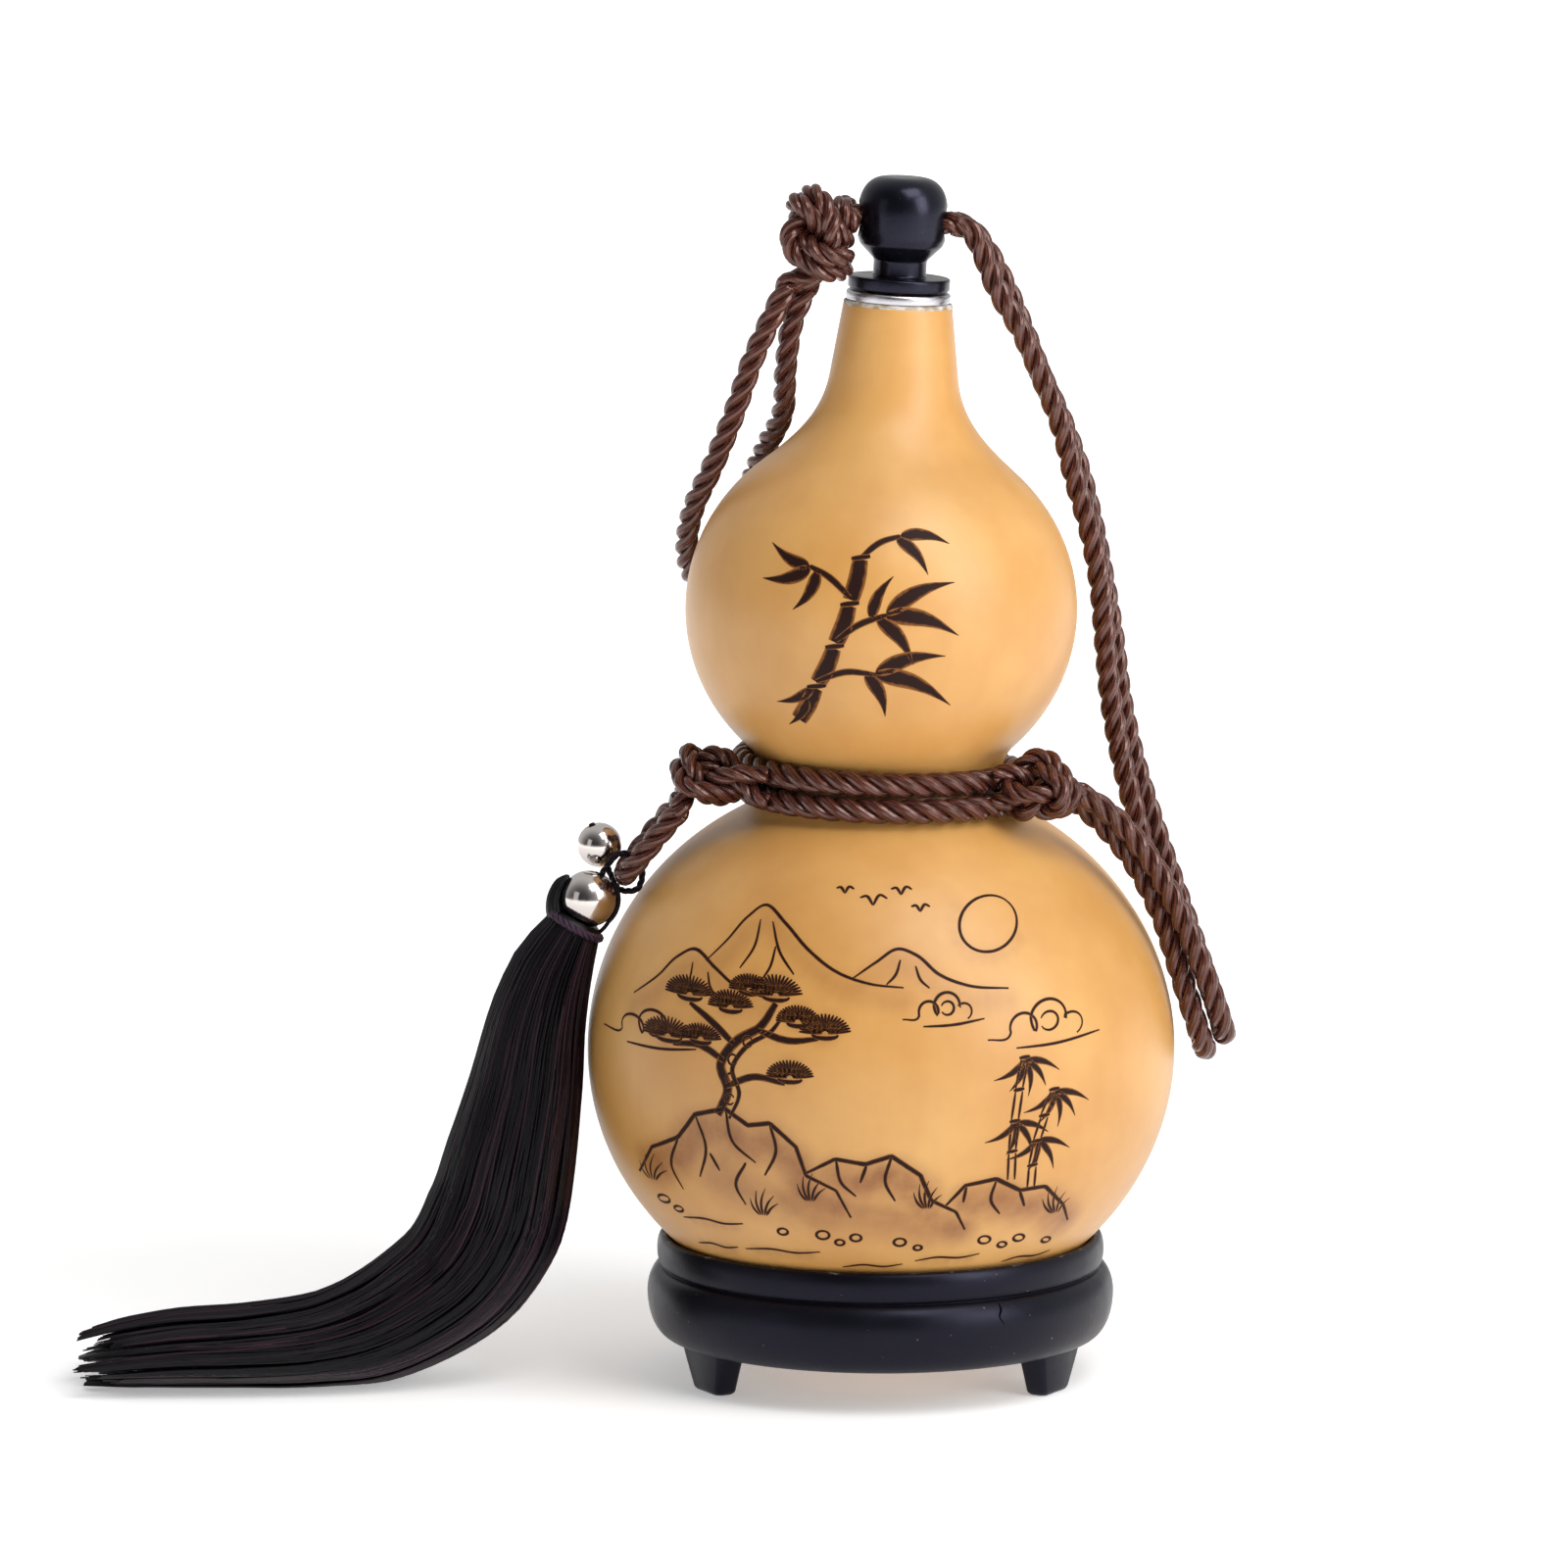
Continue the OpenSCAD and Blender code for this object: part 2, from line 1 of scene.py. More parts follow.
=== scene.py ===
# %% [markdown]
# # A gourd water bottle on its stand
#
# The bottle is a dried gourd with a black turned stopper, a twisted carrying cord, two metal beads and
# a long yarn tassel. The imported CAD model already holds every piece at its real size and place. Here
# each piece gets its finish, and the soft pieces are modelled again as what they are made of: plies,
# knots and yarn. The lengths below are millimetres, and `MM` turns them into Blender's metres.

# %% Load the frame
import math

import bpy
import numpy as np
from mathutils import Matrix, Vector
from mathutils.bvhtree import BVHTree


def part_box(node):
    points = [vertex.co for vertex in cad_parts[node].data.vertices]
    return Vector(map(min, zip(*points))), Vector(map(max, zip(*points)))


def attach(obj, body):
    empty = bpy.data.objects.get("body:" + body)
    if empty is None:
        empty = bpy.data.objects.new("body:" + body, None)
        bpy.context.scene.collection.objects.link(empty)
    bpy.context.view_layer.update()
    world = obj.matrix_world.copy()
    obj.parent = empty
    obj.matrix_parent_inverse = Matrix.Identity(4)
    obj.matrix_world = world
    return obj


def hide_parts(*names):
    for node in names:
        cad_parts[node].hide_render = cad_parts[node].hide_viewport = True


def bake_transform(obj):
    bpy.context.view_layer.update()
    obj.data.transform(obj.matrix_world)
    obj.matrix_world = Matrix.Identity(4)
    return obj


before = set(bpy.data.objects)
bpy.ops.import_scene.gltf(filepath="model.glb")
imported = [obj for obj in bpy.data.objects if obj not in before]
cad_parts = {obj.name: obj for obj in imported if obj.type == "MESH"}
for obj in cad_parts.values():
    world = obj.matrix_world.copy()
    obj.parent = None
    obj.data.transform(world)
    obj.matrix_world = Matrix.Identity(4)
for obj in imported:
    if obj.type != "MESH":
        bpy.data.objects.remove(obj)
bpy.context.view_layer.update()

MM = 0.001

# %% [markdown]
# ## Helpers for every piece
#
# Colours are picked as sRGB hex values from a colour card, but a shader mixes linear light, so one
# function converts them. One small function adds a shader node with its settings and its links.

# %% Colour and node helpers
def linear(hex_colour):
    """An sRGB colour such as "#D9A55C" as the linear RGBA that shaders use."""
    parts = [int(hex_colour[i:i + 2], 16) / 255 for i in (1, 3, 5)]
    return [c / 12.92 if c <= 0.04045 else ((c + 0.055) / 1.055) ** 2.4 for c in parts] + [1]


def add_node(tree, kind, settings=(), links=()):
    """Adds a node. settings are sockets, properties or a ramp's stops. links are what feeds its sockets."""
    node = tree.nodes.new(kind)
    for name, value in dict(settings).items():
        if name == "stops":
            for stop, (position, colour) in zip(node.color_ramp.elements, value):
                stop.position, stop.color = position, linear(colour)
        elif isinstance(name, int) or name in node.inputs:
            node.inputs[name].default_value = value
        else:
            setattr(node, name, value)
    for name, (source, output) in dict(links).items():
        tree.links.new(source.outputs[output], node.inputs[name])
    return node


def new_material(name, settings):
    """A material with its Principled shader set: returns the material, its tree and the shader."""
    material = bpy.data.materials.new(name)
    material.use_nodes = True
    tree = material.node_tree
    shader = tree.nodes["Principled BSDF"]
    for socket, value in settings.items():
        shader.inputs[socket].default_value = value
    print("Material:", name)
    return material, tree, shader


# %% [markdown]
# A piece is a smooth mesh made from points and faces. It is told which body of the CAD model it moves
# with. Some materials read a number at each point of a mesh, such as how dark it is burnt, so a second
# helper stores those.

# %% Mesh helpers
def make_piece(name, points, faces, material, body, uvs=None):
    """A smooth mesh from points in mm. It rides on its body."""
    mesh = bpy.data.meshes.new(name)
    mesh.from_pydata((np.asarray(points, float) * MM).tolist(), [], [list(face) for face in faces])
    mesh.materials.append(material)
    mesh.shade_smooth()
    if uvs is not None:
        layer = mesh.uv_layers.new(name="UVMap")
        layer.data.foreach_set("uv", np.asarray(uvs, np.float32).ravel())
    piece = bpy.data.objects.new(name, mesh)
    bpy.context.scene.collection.objects.link(piece)
    if body:
        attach(piece, body)
    print(f"{name}: {len(mesh.polygons)} faces")
    return piece


def store(piece, name, values):
    """Stores a number at each point of a piece, for its material to read."""
    numbers = piece.data.attributes.new(name, "FLOAT", "POINT").data
    numbers.foreach_set("value", np.asarray(values, np.float32))


# %% [markdown]
# ## Camera
#
# The photograph looks straight at the front from a little above, from about two metres away, so its
# lines hardly converge. One pixel of its 1600 is 0.2 mm at the bottle, which gives the lens. The
# camera tilts down to the middle of the picture, and its shift stays at zero.

# %% Camera
photo_width = 1600
mm_per_pixel = 0.1997
stand_axis_pixel = 899
ground_pixel = 1412
camera_distance = 2000
camera_height = 424.7

middle_x = (photo_width / 2 - stand_axis_pixel) * mm_per_pixel
middle_z = (ground_pixel - photo_width / 2) * mm_per_pixel
camera_data = bpy.data.cameras.new("photo_camera")
camera = bpy.data.objects.new("photo_camera", camera_data)
bpy.context.scene.collection.objects.link(camera)
camera.location = Vector((middle_x, -camera_distance, camera_height)) * MM
look = Vector((middle_x, 0, middle_z)) * MM - camera.location
camera.rotation_euler = look.to_track_quat("-Z", "Y").to_euler()
camera_data.lens = camera_data.sensor_width * look.length / (photo_width * mm_per_pixel * MM)
camera_data.clip_start, camera_data.clip_end = 0.05, 50
bpy.context.scene.camera = camera
looking_down = math.degrees(math.asin(-look.z / look.length))
print(f"Lens {camera_data.lens:.0f} mm, looking down {looking_down:.1f} degrees")

# %% [markdown]
# ## Floor and light
#
# White paper and soft lights, as for a product picture. The paper glows more and more from 0.2 m to 1 m
# away from the bottle, so it runs into the white background and only keeps the shadow near the stand.

# %% Floor
white_paper, tree, shader = new_material("white_paper_sweep", {
    "Base Color": linear("#F4F4F4"), "Roughness": 0.9, "Emission Color": linear("#FFFFFF")})
place = add_node(tree, "ShaderNodeTexCoord")
far = add_node(tree, "ShaderNodeVectorMath", {"operation": "LENGTH"}, {0: (place, "Object")})
lit = add_node(tree, "ShaderNodeMapRange", {1: 0.2, 2: 1.0, 3: 0.35, 4: 1.0}, {0: (far, "Value")})
tree.links.new(lit.outputs[0], shader.inputs["Emission Strength"])
floor_half = 12000
corners = [(x * floor_half, y * floor_half, 0) for x, y in ((-1, -1), (1, -1), (1, 1), (-1, 1))]
make_piece("floor", corners, [(0, 1, 2, 3)], white_paper, None)

# %% [markdown]
# The main light is large and stands to the front right, so the right side of each bulb is the pale one
# and the left side turns a deeper brown. A second softbox over the bottle gives the soft shine on its
# shoulders. The world adds a soft white from the right and from behind, which also gives the chrome
# beads something to mirror. To the left behind the camera it is dark, as a studio is there, which
# keeps black lacquer black and the middles of the beads dark.

# %% Lights
def soft_light(name, place, aim, size, watts):
    """A rectangular white softbox at place, turned to aim. Places and sizes are mm."""
    data = bpy.data.lights.new(name, "AREA")
    data.shape, data.size, data.size_y = "RECTANGLE", size[0] * MM, size[1] * MM
    data.energy = watts
    light = bpy.data.objects.new(name, data)
    light.location = Vector(place) * MM
    light.rotation_euler = (Vector(aim) * MM - light.location).to_track_quat("-Z", "Y").to_euler()
    bpy.context.scene.collection.objects.link(light)
    print(f"{name}: {watts} W from {size[0]} by {size[1]} mm")


bottle_middle = (0, 0, 120)
soft_light("key_softbox", (1150, -900, 700), bottle_middle, (700, 900), 11.5)
soft_light("fill_softbox", (-1300, -900, 500), bottle_middle, (600, 900), 1)
soft_light("top_softbox", (450, -600, 1250), bottle_middle, (800, 700), 9)

# %% White studio round the bottle
world = bpy.data.worlds.new("white_studio")
world.use_nodes = True
bpy.context.scene.world = world
sky = world.node_tree.nodes["Background"]
sky.inputs["Color"].default_value = linear("#FFFFFF")
tree = world.node_tree
direction = add_node(tree, "ShaderNodeTexCoord")
towards = add_node(tree, "ShaderNodeVectorMath", {"operation": "DOT_PRODUCT", 1: (0.6, 0.8, 0)},
                   {0: (direction, "Generated")})
room = add_node(tree, "ShaderNodeMapRange", {
    "interpolation_type": "SMOOTHSTEP", 1: -0.95, 2: 0.1, 3: 0.05, 4: 0.6}, {0: (towards, "Value")})
seen = add_node(tree, "ShaderNodeLightPath")
strength = add_node(tree, "ShaderNodeMix", {"data_type": "FLOAT", 3: 1.0},
                    {0: (seen, "Is Camera Ray"), 2: (room, 0)})
tree.links.new(strength.outputs[0], sky.inputs["Strength"])
bpy.context.scene.view_settings.view_transform = "Standard"
print("World:", world.name)

# %% [markdown]
# ## Twisted cord
#
# The cord is rayon: three plies of fine glossy yarn twisted together to the right, 4.8 mm thick, with
# one full turn in 14 mm. A texture on a round tube never gives its bumpy outline, so each ply is a
# tube of its own that winds round the cord's middle line. Three round plies that touch have a radius
# of the cord's radius divided by 2.155, and their middles lie 1.155 ply radii from the middle line.

# %% Paths
def smooth_path(points, step):
    """A smooth curve through the points, with one point every step mm."""
    p = np.asarray(points, float)
    chord = np.linalg.norm(np.diff(p, axis=0), axis=1)
    at = np.concatenate([[0], np.cumsum(chord)])
    slope = np.gradient(p, at, axis=0)
    fine = []
    for i, length in enumerate(chord):
        u = np.linspace(0, 1, 24, endpoint=False)[:, None]
        fine.append((2 * u**3 - 3 * u**2 + 1) * p[i] + (u**3 - 2 * u**2 + u) * length * slope[i]
                    + (3 * u**2 - 2 * u**3) * p[i + 1] + (u**3 - u**2) * length * slope[i + 1])
    fine = np.vstack([*fine, p[-1:]])
    return evenly(fine, step)


def evenly(p, step):
    """The same curve with its points at equal distances, about step apart."""
    run = np.concatenate([[0], np.cumsum(np.linalg.norm(np.diff(p, axis=0), axis=1))])
    marks = np.linspace(0, run[-1], max(2, round(run[-1] / step)) + 1)
    return np.column_stack([np.interp(marks, run, p[:, k]) for k in range(3)])


def path_length(p):
    """The length of a path from its first point to its last."""
    return float(np.linalg.norm(np.diff(p, axis=0), axis=1).sum())


def frames_along(p, first):
    """Two directions across the path at each point. The first starts nearest to first, and both are
    carried along the path without turning round it."""
    heading = np.gradient(p, axis=0)
    heading /= np.linalg.norm(heading, axis=1)[:, None]
    side = np.zeros_like(p)
    s = np.asarray(first, float)
    for i, t in enumerate(heading):
        s = s - t * (s @ t)
        s /= np.linalg.norm(s)
        side[i] = s
    return side, np.cross(heading, side)


# %% Tubes along a path
def tube_faces(rings, sides):
    """Faces of a tube's wall, from each ring of points to the next."""
    i, j = np.meshgrid(np.arange(rings - 1), np.arange(sides), indexing="ij")
    k = (j + 1) % sides
    walls = np.stack([i * sides + j, i * sides + k, (i + 1) * sides + k, (i + 1) * sides + j], -1)
    return walls.reshape(-1, 4).tolist()


def sweep(p, side, up, across, high, sides, run):
    """Points, faces and UVs of a capped tube along p. U goes round it once and V is its length in cm."""
    angle = 2 * math.pi * np.arange(sides) / sides
    across, high = (np.broadcast_to(size, len(p))[:, None, None] for size in (across, high))
    ring = (across * np.cos(angle)[None, :, None] * side[:, None, :]
            + high * np.sin(angle)[None, :, None] * up[:, None, :])
    points = (p[:, None, :] + ring).reshape(-1, 3)
    n = len(p)
    faces = tube_faces(n, sides)
    v = np.asarray(run) / 10
    i, j = np.meshgrid(np.arange(n - 1), np.arange(sides), indexing="ij")
    corners = [(j, i), (j + 1, i), (j + 1, i + 1), (j, i + 1)]
    uvs = np.stack([np.stack([a / sides, v[b]], -1) for a, b in corners], 2).reshape(-1, 2).tolist()
    for cap, v_end in ((list(range(sides))[::-1], v[0]), (list(range((n - 1) * sides, n * sides)), v[-1])):
        faces.append(cap)
        uvs += [(0.5, v_end)] * sides
    return points, faces, uvs


def join(parts):
    """Several (points, faces, uvs) as one."""
    points, faces, uvs, start = [], [], [], 0
    for p, f, uv in parts:
        points.append(np.asarray(p))
        faces += [[k + start for k in face] for face in f]
        uvs += list(uv)
        start += len(p)
    return np.vstack(points), faces, uvs


# %% [markdown]
# One ply is a tube that circles the cord's middle line. Cut straight across the cord, a slanting ply is
# wider than it is high, so its section is an oval, drawn 3% wider still, as soft plies press together.

# %% Twisted plies
cord_d = 4.8
cord_lay = 14
plies = 3
ply_r = cord_d / 2 / 2.155
ply_out = 1.155 * ply_r
ply_squeeze = 1.03


def twisted(p, first, d=cord_d, lay=cord_lay, sides=12, phase=0.0):
    """The plies of a twisted cord along path p, whose points are already evenly spaced."""
    side, up = frames_along(p, first)
    run = np.concatenate([[0], np.cumsum(np.linalg.norm(np.diff(p, axis=0), axis=1))])
    share = np.broadcast_to(d, len(p)) / cord_d
    slant = np.arctan(2 * math.pi * ply_out * share / lay)
    parts = []
    for ply in range(plies):
        turn = 2 * math.pi * (run / lay + ply / plies) + phase
        outward = np.cos(turn)[:, None] * side + np.sin(turn)[:, None] * up
        along = -np.sin(turn)[:, None] * side + np.cos(turn)[:, None] * up
        middle = p + (ply_out * share)[:, None] * outward
        parts.append(sweep(middle, along, outward, ply_r * share / np.cos(slant) * ply_squeeze,
                           ply_r * share, sides, run))
    return join(parts)


# %% [markdown]
# The yarn of each ply is a bundle of fibres a few hundredths of a millimetre thick. Drawn at real size
# they would vanish, so nine ridges go round a ply, 0.8 mm apart. They slant a little across the ply, as
# its own twist runs the other way. Rayon is glossy and its fibres lie close, so the cord gets a low
# roughness and a full specular level in a pale pink tint, which puts a bright line on each ply. A
# little sheen lightens its edges. Patches of 2.4 mm keep the dye from looking printed.

# %% Rayon cord material
def rayon_yarn(name, dark, light, sheen_tint, ridges, slant, roughness=0.42, sheen=0.12, gloss=0.5,
               depth=0.08):
    """Twisted rayon: ridges go round each ply, and slant is how often they turn round it in a cm."""
    material, tree, shader = new_material(name, {
        "Roughness": roughness, "Specular IOR Level": gloss, "Specular Tint": linear(sheen_tint), "IOR": 1.47,
        "Sheen Weight": sheen, "Sheen Roughness": 0.35, "Sheen Tint": linear(sheen_tint)})
    uv = add_node(tree, "ShaderNodeTexCoord")
    ridge_scale = 2 * math.pi / 10
    place = add_node(tree, "ShaderNodeMapping", {"Scale": (ridges * ridge_scale, slant * ridge_scale, 1)},
                     {"Vector": (uv, "UV")})
    fibres = add_node(tree, "ShaderNodeTexWave", {
        "wave_type": "BANDS", "bands_direction": "DIAGONAL", "Scale": 1.0, "Distortion": 0.6,
        "Detail": 2.0, "Detail Scale": 3.0}, {"Vector": (place, "Vector")})
    patches = add_node(tree, "ShaderNodeTexNoise", {"Scale": 420.0, "Detail": 3.0},
                       {"Vector": (uv, "Object")})
    # The base colour follows the fibre ridges. Each crest is lighter, a painted highlight, and each gap
    # between ridges is darker, painted shade. dark is the colour of the grooves and light that of the crests,
    # and the noise patches vary the dye.
    shade = add_node(tree, "ShaderNodeMath", {"operation": "MULTIPLY_ADD", 1: 0.55, 2: 0.1},
                     {0: (fibres, "Fac")})
    mixed = add_node(tree, "ShaderNodeMath", {"operation": "MULTIPLY"},
                     {0: (shade, "Value"), 1: (patches, "Fac")})
    ridge_painted_light = add_node(tree, "ShaderNodeMath", {"operation": "MULTIPLY", 1: 1.95},
                         {0: (mixed, "Value")})
    colour = add_node(tree, "ShaderNodeMix", {"data_type": "RGBA", 6: linear(dark), 7: linear(light)},
                      {0: (ridge_painted_light, "Value")})
    bump = add_node(tree, "ShaderNodeBump", {"Strength": 0.6, "Distance": depth * MM},
                    {"Height": (fibres, "Fac")})
    tree.links.new(colour.outputs[2], shader.inputs["Base Color"])
    tree.links.new(bump.outputs["Normal"], shader.inputs["Normal"])
    return material


# Its dark colour is the painted shade between the ridges, and its light one the painted highlight on them.
cord_rayon = rayon_yarn("brown_rayon_cord", "#120504", "#6E382C", "#F6D6CC", ridges=9, slant=-4,
                        roughness=0.23, sheen=0.06, gloss=1.0)

# %% [markdown]
# ## The free cords
#
# Their routes are the CAD model's own points. The right strap is a pair of strands: it leaves the
# knob, hangs behind the waist to the side of the lower bulb, turns, and comes back up in front to its
# knot. After each point comes the direction towards the second strand.

# %% Routes of the cords
pair_spacing = 5
right_route = [
    (14.5, 0, 236.9, 0, 1, 0), (17.8, 0, 235.5, 0, 1, 0), (20.6, 0, 231.4, 0.2, 1, 0),
    (23.6, 0, 225, 0.4, 1, 0), (28.6, 1, 214.8, 0.1, 1, 0), (32.4, 2, 205.6, 0, 1, 0),
    (36.6, 3.5, 195.6, 0.1, 1, 0), (39.8, 5, 185.2, 0.3, 1, 0), (42.6, 6.5, 175, 0.2, 1, 0),
    (45, 8, 163, 0.2, 1, 0), (46.6, 9, 151, 0.4, 1, 0), (48, 10, 139, 0.5, 1, 0),
    (50.6, 11, 126, 0.6, 1, 0), (54.2, 12, 113, 0.8, 1, 0), (57.8, 13, 101, 1, 0.8, 0),
    (61.6, 13.5, 89, 1, 0.4, 0), (65, 13, 78.6, 1, 0.1, 0.3), (67.4, 9.5, 71.6, 1, 0, 0.6),
    (68.4, 3, 68.8, 1, 0, 0.9), (67.8, -4, 70.8, 1, 0, 0.6), (66, -8, 76.8, 1, -0.1, 0.3),
    (62.6, -9.5, 87, 1, -0.5, 0), (58, -10.5, 98.6, 1, -0.8, 0), (52, -12, 109.4, 0.8, -1, 0.4),
    (44.6, -14, 118, 0.4, -1, 0.6), (38.6, -16, 122.6, 0.2, -1, 0.5)]
left_near_route = [
    (-15, -4, 224.5), (-17.8, -3, 218), (-19.4, 0, 208),
    (-20, 6, 198), (-23.4, 15, 189.6), (-26.6, 25.6, 180),
    (-25, 34.6, 168.6), (-20, 40, 156), (-14, 40, 144),
    (-8.6, 37.6, 134)]
left_far_route = [
    (-19, -7.2, 225.2), (-22, -7, 219), (-26, -6, 210),
    (-29.6, -4, 199.4), (-34, 0, 188), (-38.4, 6, 177.6),
    (-39.6, 14.6, 167), (-35.6, 24.6, 157), (-29, 31, 147),
    (-21.6, 34.4, 137), (-14.6, 36, 128.6)]
tail_route = [
    (-41, -15, 119), (-45.4, -13.6, 113.6), (-49.4, -11.8, 108.4),
    (-51.6, -9.4, 105.6), (-52.2, -6, 104.6), (-51.6, -2.6, 105.6),
    (-49.4, -0.6, 108.4), (-45.6, 0, 113.4), (-42.6, -1.6, 117.2),
    (-40.4, -4.4, 120)]
string_route = [
    (-59, -0.4, 114.2), (-57.4, -0.4, 109.7), (-55.5, -0.4, 104.5), (-52.6, -4.6, 101),
    (-49.6, -6, 101.6), (-48.6, -6, 105), (-50, -6, 108.2), (-53.2, -6, 108.8), (-56.4, -6, 105.3),
    (-59.5, -6, 99.5), (-62.3, -6, 94.2)]


def strand_of_pair(route, side):
    """One strand of a pair: side is 1 for the far one and -1 for the near one."""
    r = np.asarray(route, float)
    middle, across = r[:, :3], r[:, 3:]
    k = np.arange(len(r))
    heading = middle[np.minimum(k + 1, len(r) - 1)] - middle[np.maximum(k - 1, 0)]
    heading /= np.linalg.norm(heading, axis=1)[:, None]
    across = across - heading * (across * heading).sum(1)[:, None]
    across /= np.linalg.norm(across, axis=1)[:, None]
    return middle + side * pair_spacing / 2 * across


routes = right_route, left_near_route, left_far_route, tail_route, string_route
print("Points on the routes:", [len(route) for route in routes])

# %% [markdown]
# The four straps hang between the stopper and the waist and move with neither body, while the tail's
# loop rides on the bottle.

# %% Twisted straps and the tail's loop
rope_step = 0.8


def make_cord(name, route, body, phase=0.0, first=(0, 1, 0)):
    """One free cord as twisted plies along its route."""
    path = smooth_path(route, rope_step)
    points, faces, uvs = twisted(path, first, phase=phase)
    cord = make_piece(name, points, faces, cord_rayon, body, uvs)
    return cord


straps = {
    "strap_right_near": strand_of_pair(right_route, -1),
    "strap_right_far": strand_of_pair(right_route, 1),
    "strap_left_near": np.asarray(left_near_route, float),
    "strap_left_far": np.asarray(left_far_route, float),
}
strap_paths = {name: smooth_path(route, rope_step) for name, route in straps.items()}
strap_phase = {name: 0.9 * number for number, name in enumerate(straps)}
waist_top = 128
for name, route in straps.items():
    strap = make_cord(name + "_rope", route, None, phase=strap_phase[name])
    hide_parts(name)
    low = waist_top * MM if "right" in name else float(route[-1][2]) * MM
    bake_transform(strap)

tail = make_cord("tail_rope", tail_route, "bottle", first=(1, 0, 0))
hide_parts("tail_cord")

# %% [markdown]
# ## The dried gourd
#
# The shell is a figure turned round an axis: two egg-shaped bulbs, a small hollow between them and a
# neck that leans 3 degrees to the right. The CAD solid has this shape, but it is cut into coarse
# triangles, and the drawing on the front needs a mesh with even, small faces. So the outline is worked
# out again from the same sizes and turned: a circle that touches both bulbs makes the waist, and a
# Bezier curve flares the neck. A grown thing is never quite round, so the radius wanders by 0.15 mm.

# %% Sizes of the gourd and its bulbs
lower_bulb, upper_bulb = np.array([60, 55.8]), np.array([39.8, 38])
bulb_spacing, waist_r, shell_wall = 90.1, 8.5, 3.5
neck_lean, neck_top, neck_root = 3, 62.7, 47.5
neck_top_r, neck_root_r, neck_bore_r = 11, 13.1, 7.5
flare_angle, flare_pull_neck, flare_pull_bulb = 48.3, 9, 8
lower_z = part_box("gourd_shell")[0].z / MM + lower_bulb[1]
upper_z = lower_z + bulb_spacing
print(f"Bulbs of {2 * lower_bulb[0]:.0f} and {2 * upper_bulb[0]:.0f} mm across")


def bulb_point(bulb, middle_z, degrees):
    """Points of a bulb's outline as (radius, height). The angle goes up from its widest place."""
    t = np.radians(degrees)
    return np.stack([bulb[0] * np.cos(t), middle_z + bulb[1] * np.sin(t)], -1)


def bulb_normal(bulb, degrees):
    """Which way is straight out of the bulb at these places."""
    t = np.radians(degrees)
    n = np.stack([bulb[1] * np.cos(t), bulb[0] * np.sin(t)], -1)
    return n / np.linalg.norm(n, axis=-1, keepdims=True)


# %% Bulbs and waist in one line
def waist_circle(inset):
    """Middle of the circle that touches both bulbs, and the angles where it touches them."""
    angles, r = np.arange(0, 88, 0.01), waist_r + inset
    low, high = lower_bulb - inset, upper_bulb - inset
    from_low = bulb_point(low, lower_z, angles) + r * bulb_normal(low, angles)
    from_high = bulb_point(high, upper_z, -angles) + r * bulb_normal(high, -angles)
    z = np.linspace(lower_z + 0.6 * lower_bulb[1], upper_z - 0.4 * upper_bulb[1], 20001)
    gap = np.interp(z, from_low[:, 1], from_low[:, 0]) - np.interp(z, from_high[::-1, 1], from_high[::-1, 0])
    k = np.argmin(np.abs(gap))
    touch_low = np.interp(z[k], from_low[:, 1], angles)
    touch_high = -np.interp(z[k], from_high[::-1, 1], angles[::-1])
    return np.array([np.interp(z[k], from_low[:, 1], from_low[:, 0]), z[k]]), touch_low, touch_high


def bulbs_outline(inset, top_angle, steps=2.0):
    """The two bulbs and the waist as (radius, height) points, drawn in by inset."""
    middle, touch_low, touch_high = waist_circle(inset)
    low, high = lower_bulb - inset, upper_bulb - inset
    inward = [-bulb_normal(low, touch_low), -bulb_normal(high, touch_high)]
    a1, a2 = (math.degrees(math.atan2(n[1], n[0])) for n in inward)
    a1 = a1 + 360 if a1 < 0 else a1
    arc = np.radians(np.linspace(a1, a2, 26)[1:-1])
    return np.vstack([
        bulb_point(low, lower_z, np.linspace(-90, touch_low, round((90 + touch_low) / steps) + 1)),
        middle + (waist_r + inset) * np.stack([np.cos(arc), np.sin(arc)], -1),
        bulb_point(high, upper_z,
                   np.linspace(touch_high, top_angle, round((top_angle - touch_high) / steps)))])


def bezier(p, q, r, s, n):
    """n points of a curve from p to s that heads for q first and comes in from r."""
    u = np.linspace(0, 1, n)[:, None]
    return (1 - u)**3 * p + 3 * (1 - u)**2 * u * q + 3 * (1 - u) * u**2 * r + u**3 * s


# %% Outline of the gourd
outer = bulbs_outline(0, flare_angle, 1.2)
leave = outer[-1]
n = bulb_normal(upper_bulb, flare_angle)
neck_foot = np.array([neck_root_r, upper_z + neck_root])
neck_end = np.array([neck_top_r, upper_z + neck_top])
down_neck = (neck_foot - neck_end) / np.linalg.norm(neck_foot - neck_end)
flare = bezier(leave, leave + flare_pull_bulb * np.array([-n[1], n[0]]),
               neck_foot + flare_pull_neck * down_neck, neck_foot, 24)[1:]
neck = neck_foot + np.linspace(0, 1, 14)[1:, None] * (neck_end - neck_foot)
neck[-1] -= (0, 0.35)
lip = neck_end + np.array([(-0.12, -0.08), (-0.4, 0)])
inner_top = math.degrees(math.acos(neck_bore_r / (upper_bulb[0] - shell_wall)))
inner = bulbs_outline(shell_wall, inner_top)[::-1]
bore = np.array([(neck_bore_r, z) for z in np.linspace(upper_z + neck_top, inner[0][1], 16)[:-1]])
gourd_line = np.vstack([outer, flare, neck, lip, bore, inner])
gourd_line[[0, -1], 0] = 0
print(f"Outline of {len(gourd_line)} points, narrowest waist {outer[:, 0][20:-20].min() * 2:.1f} mm across")


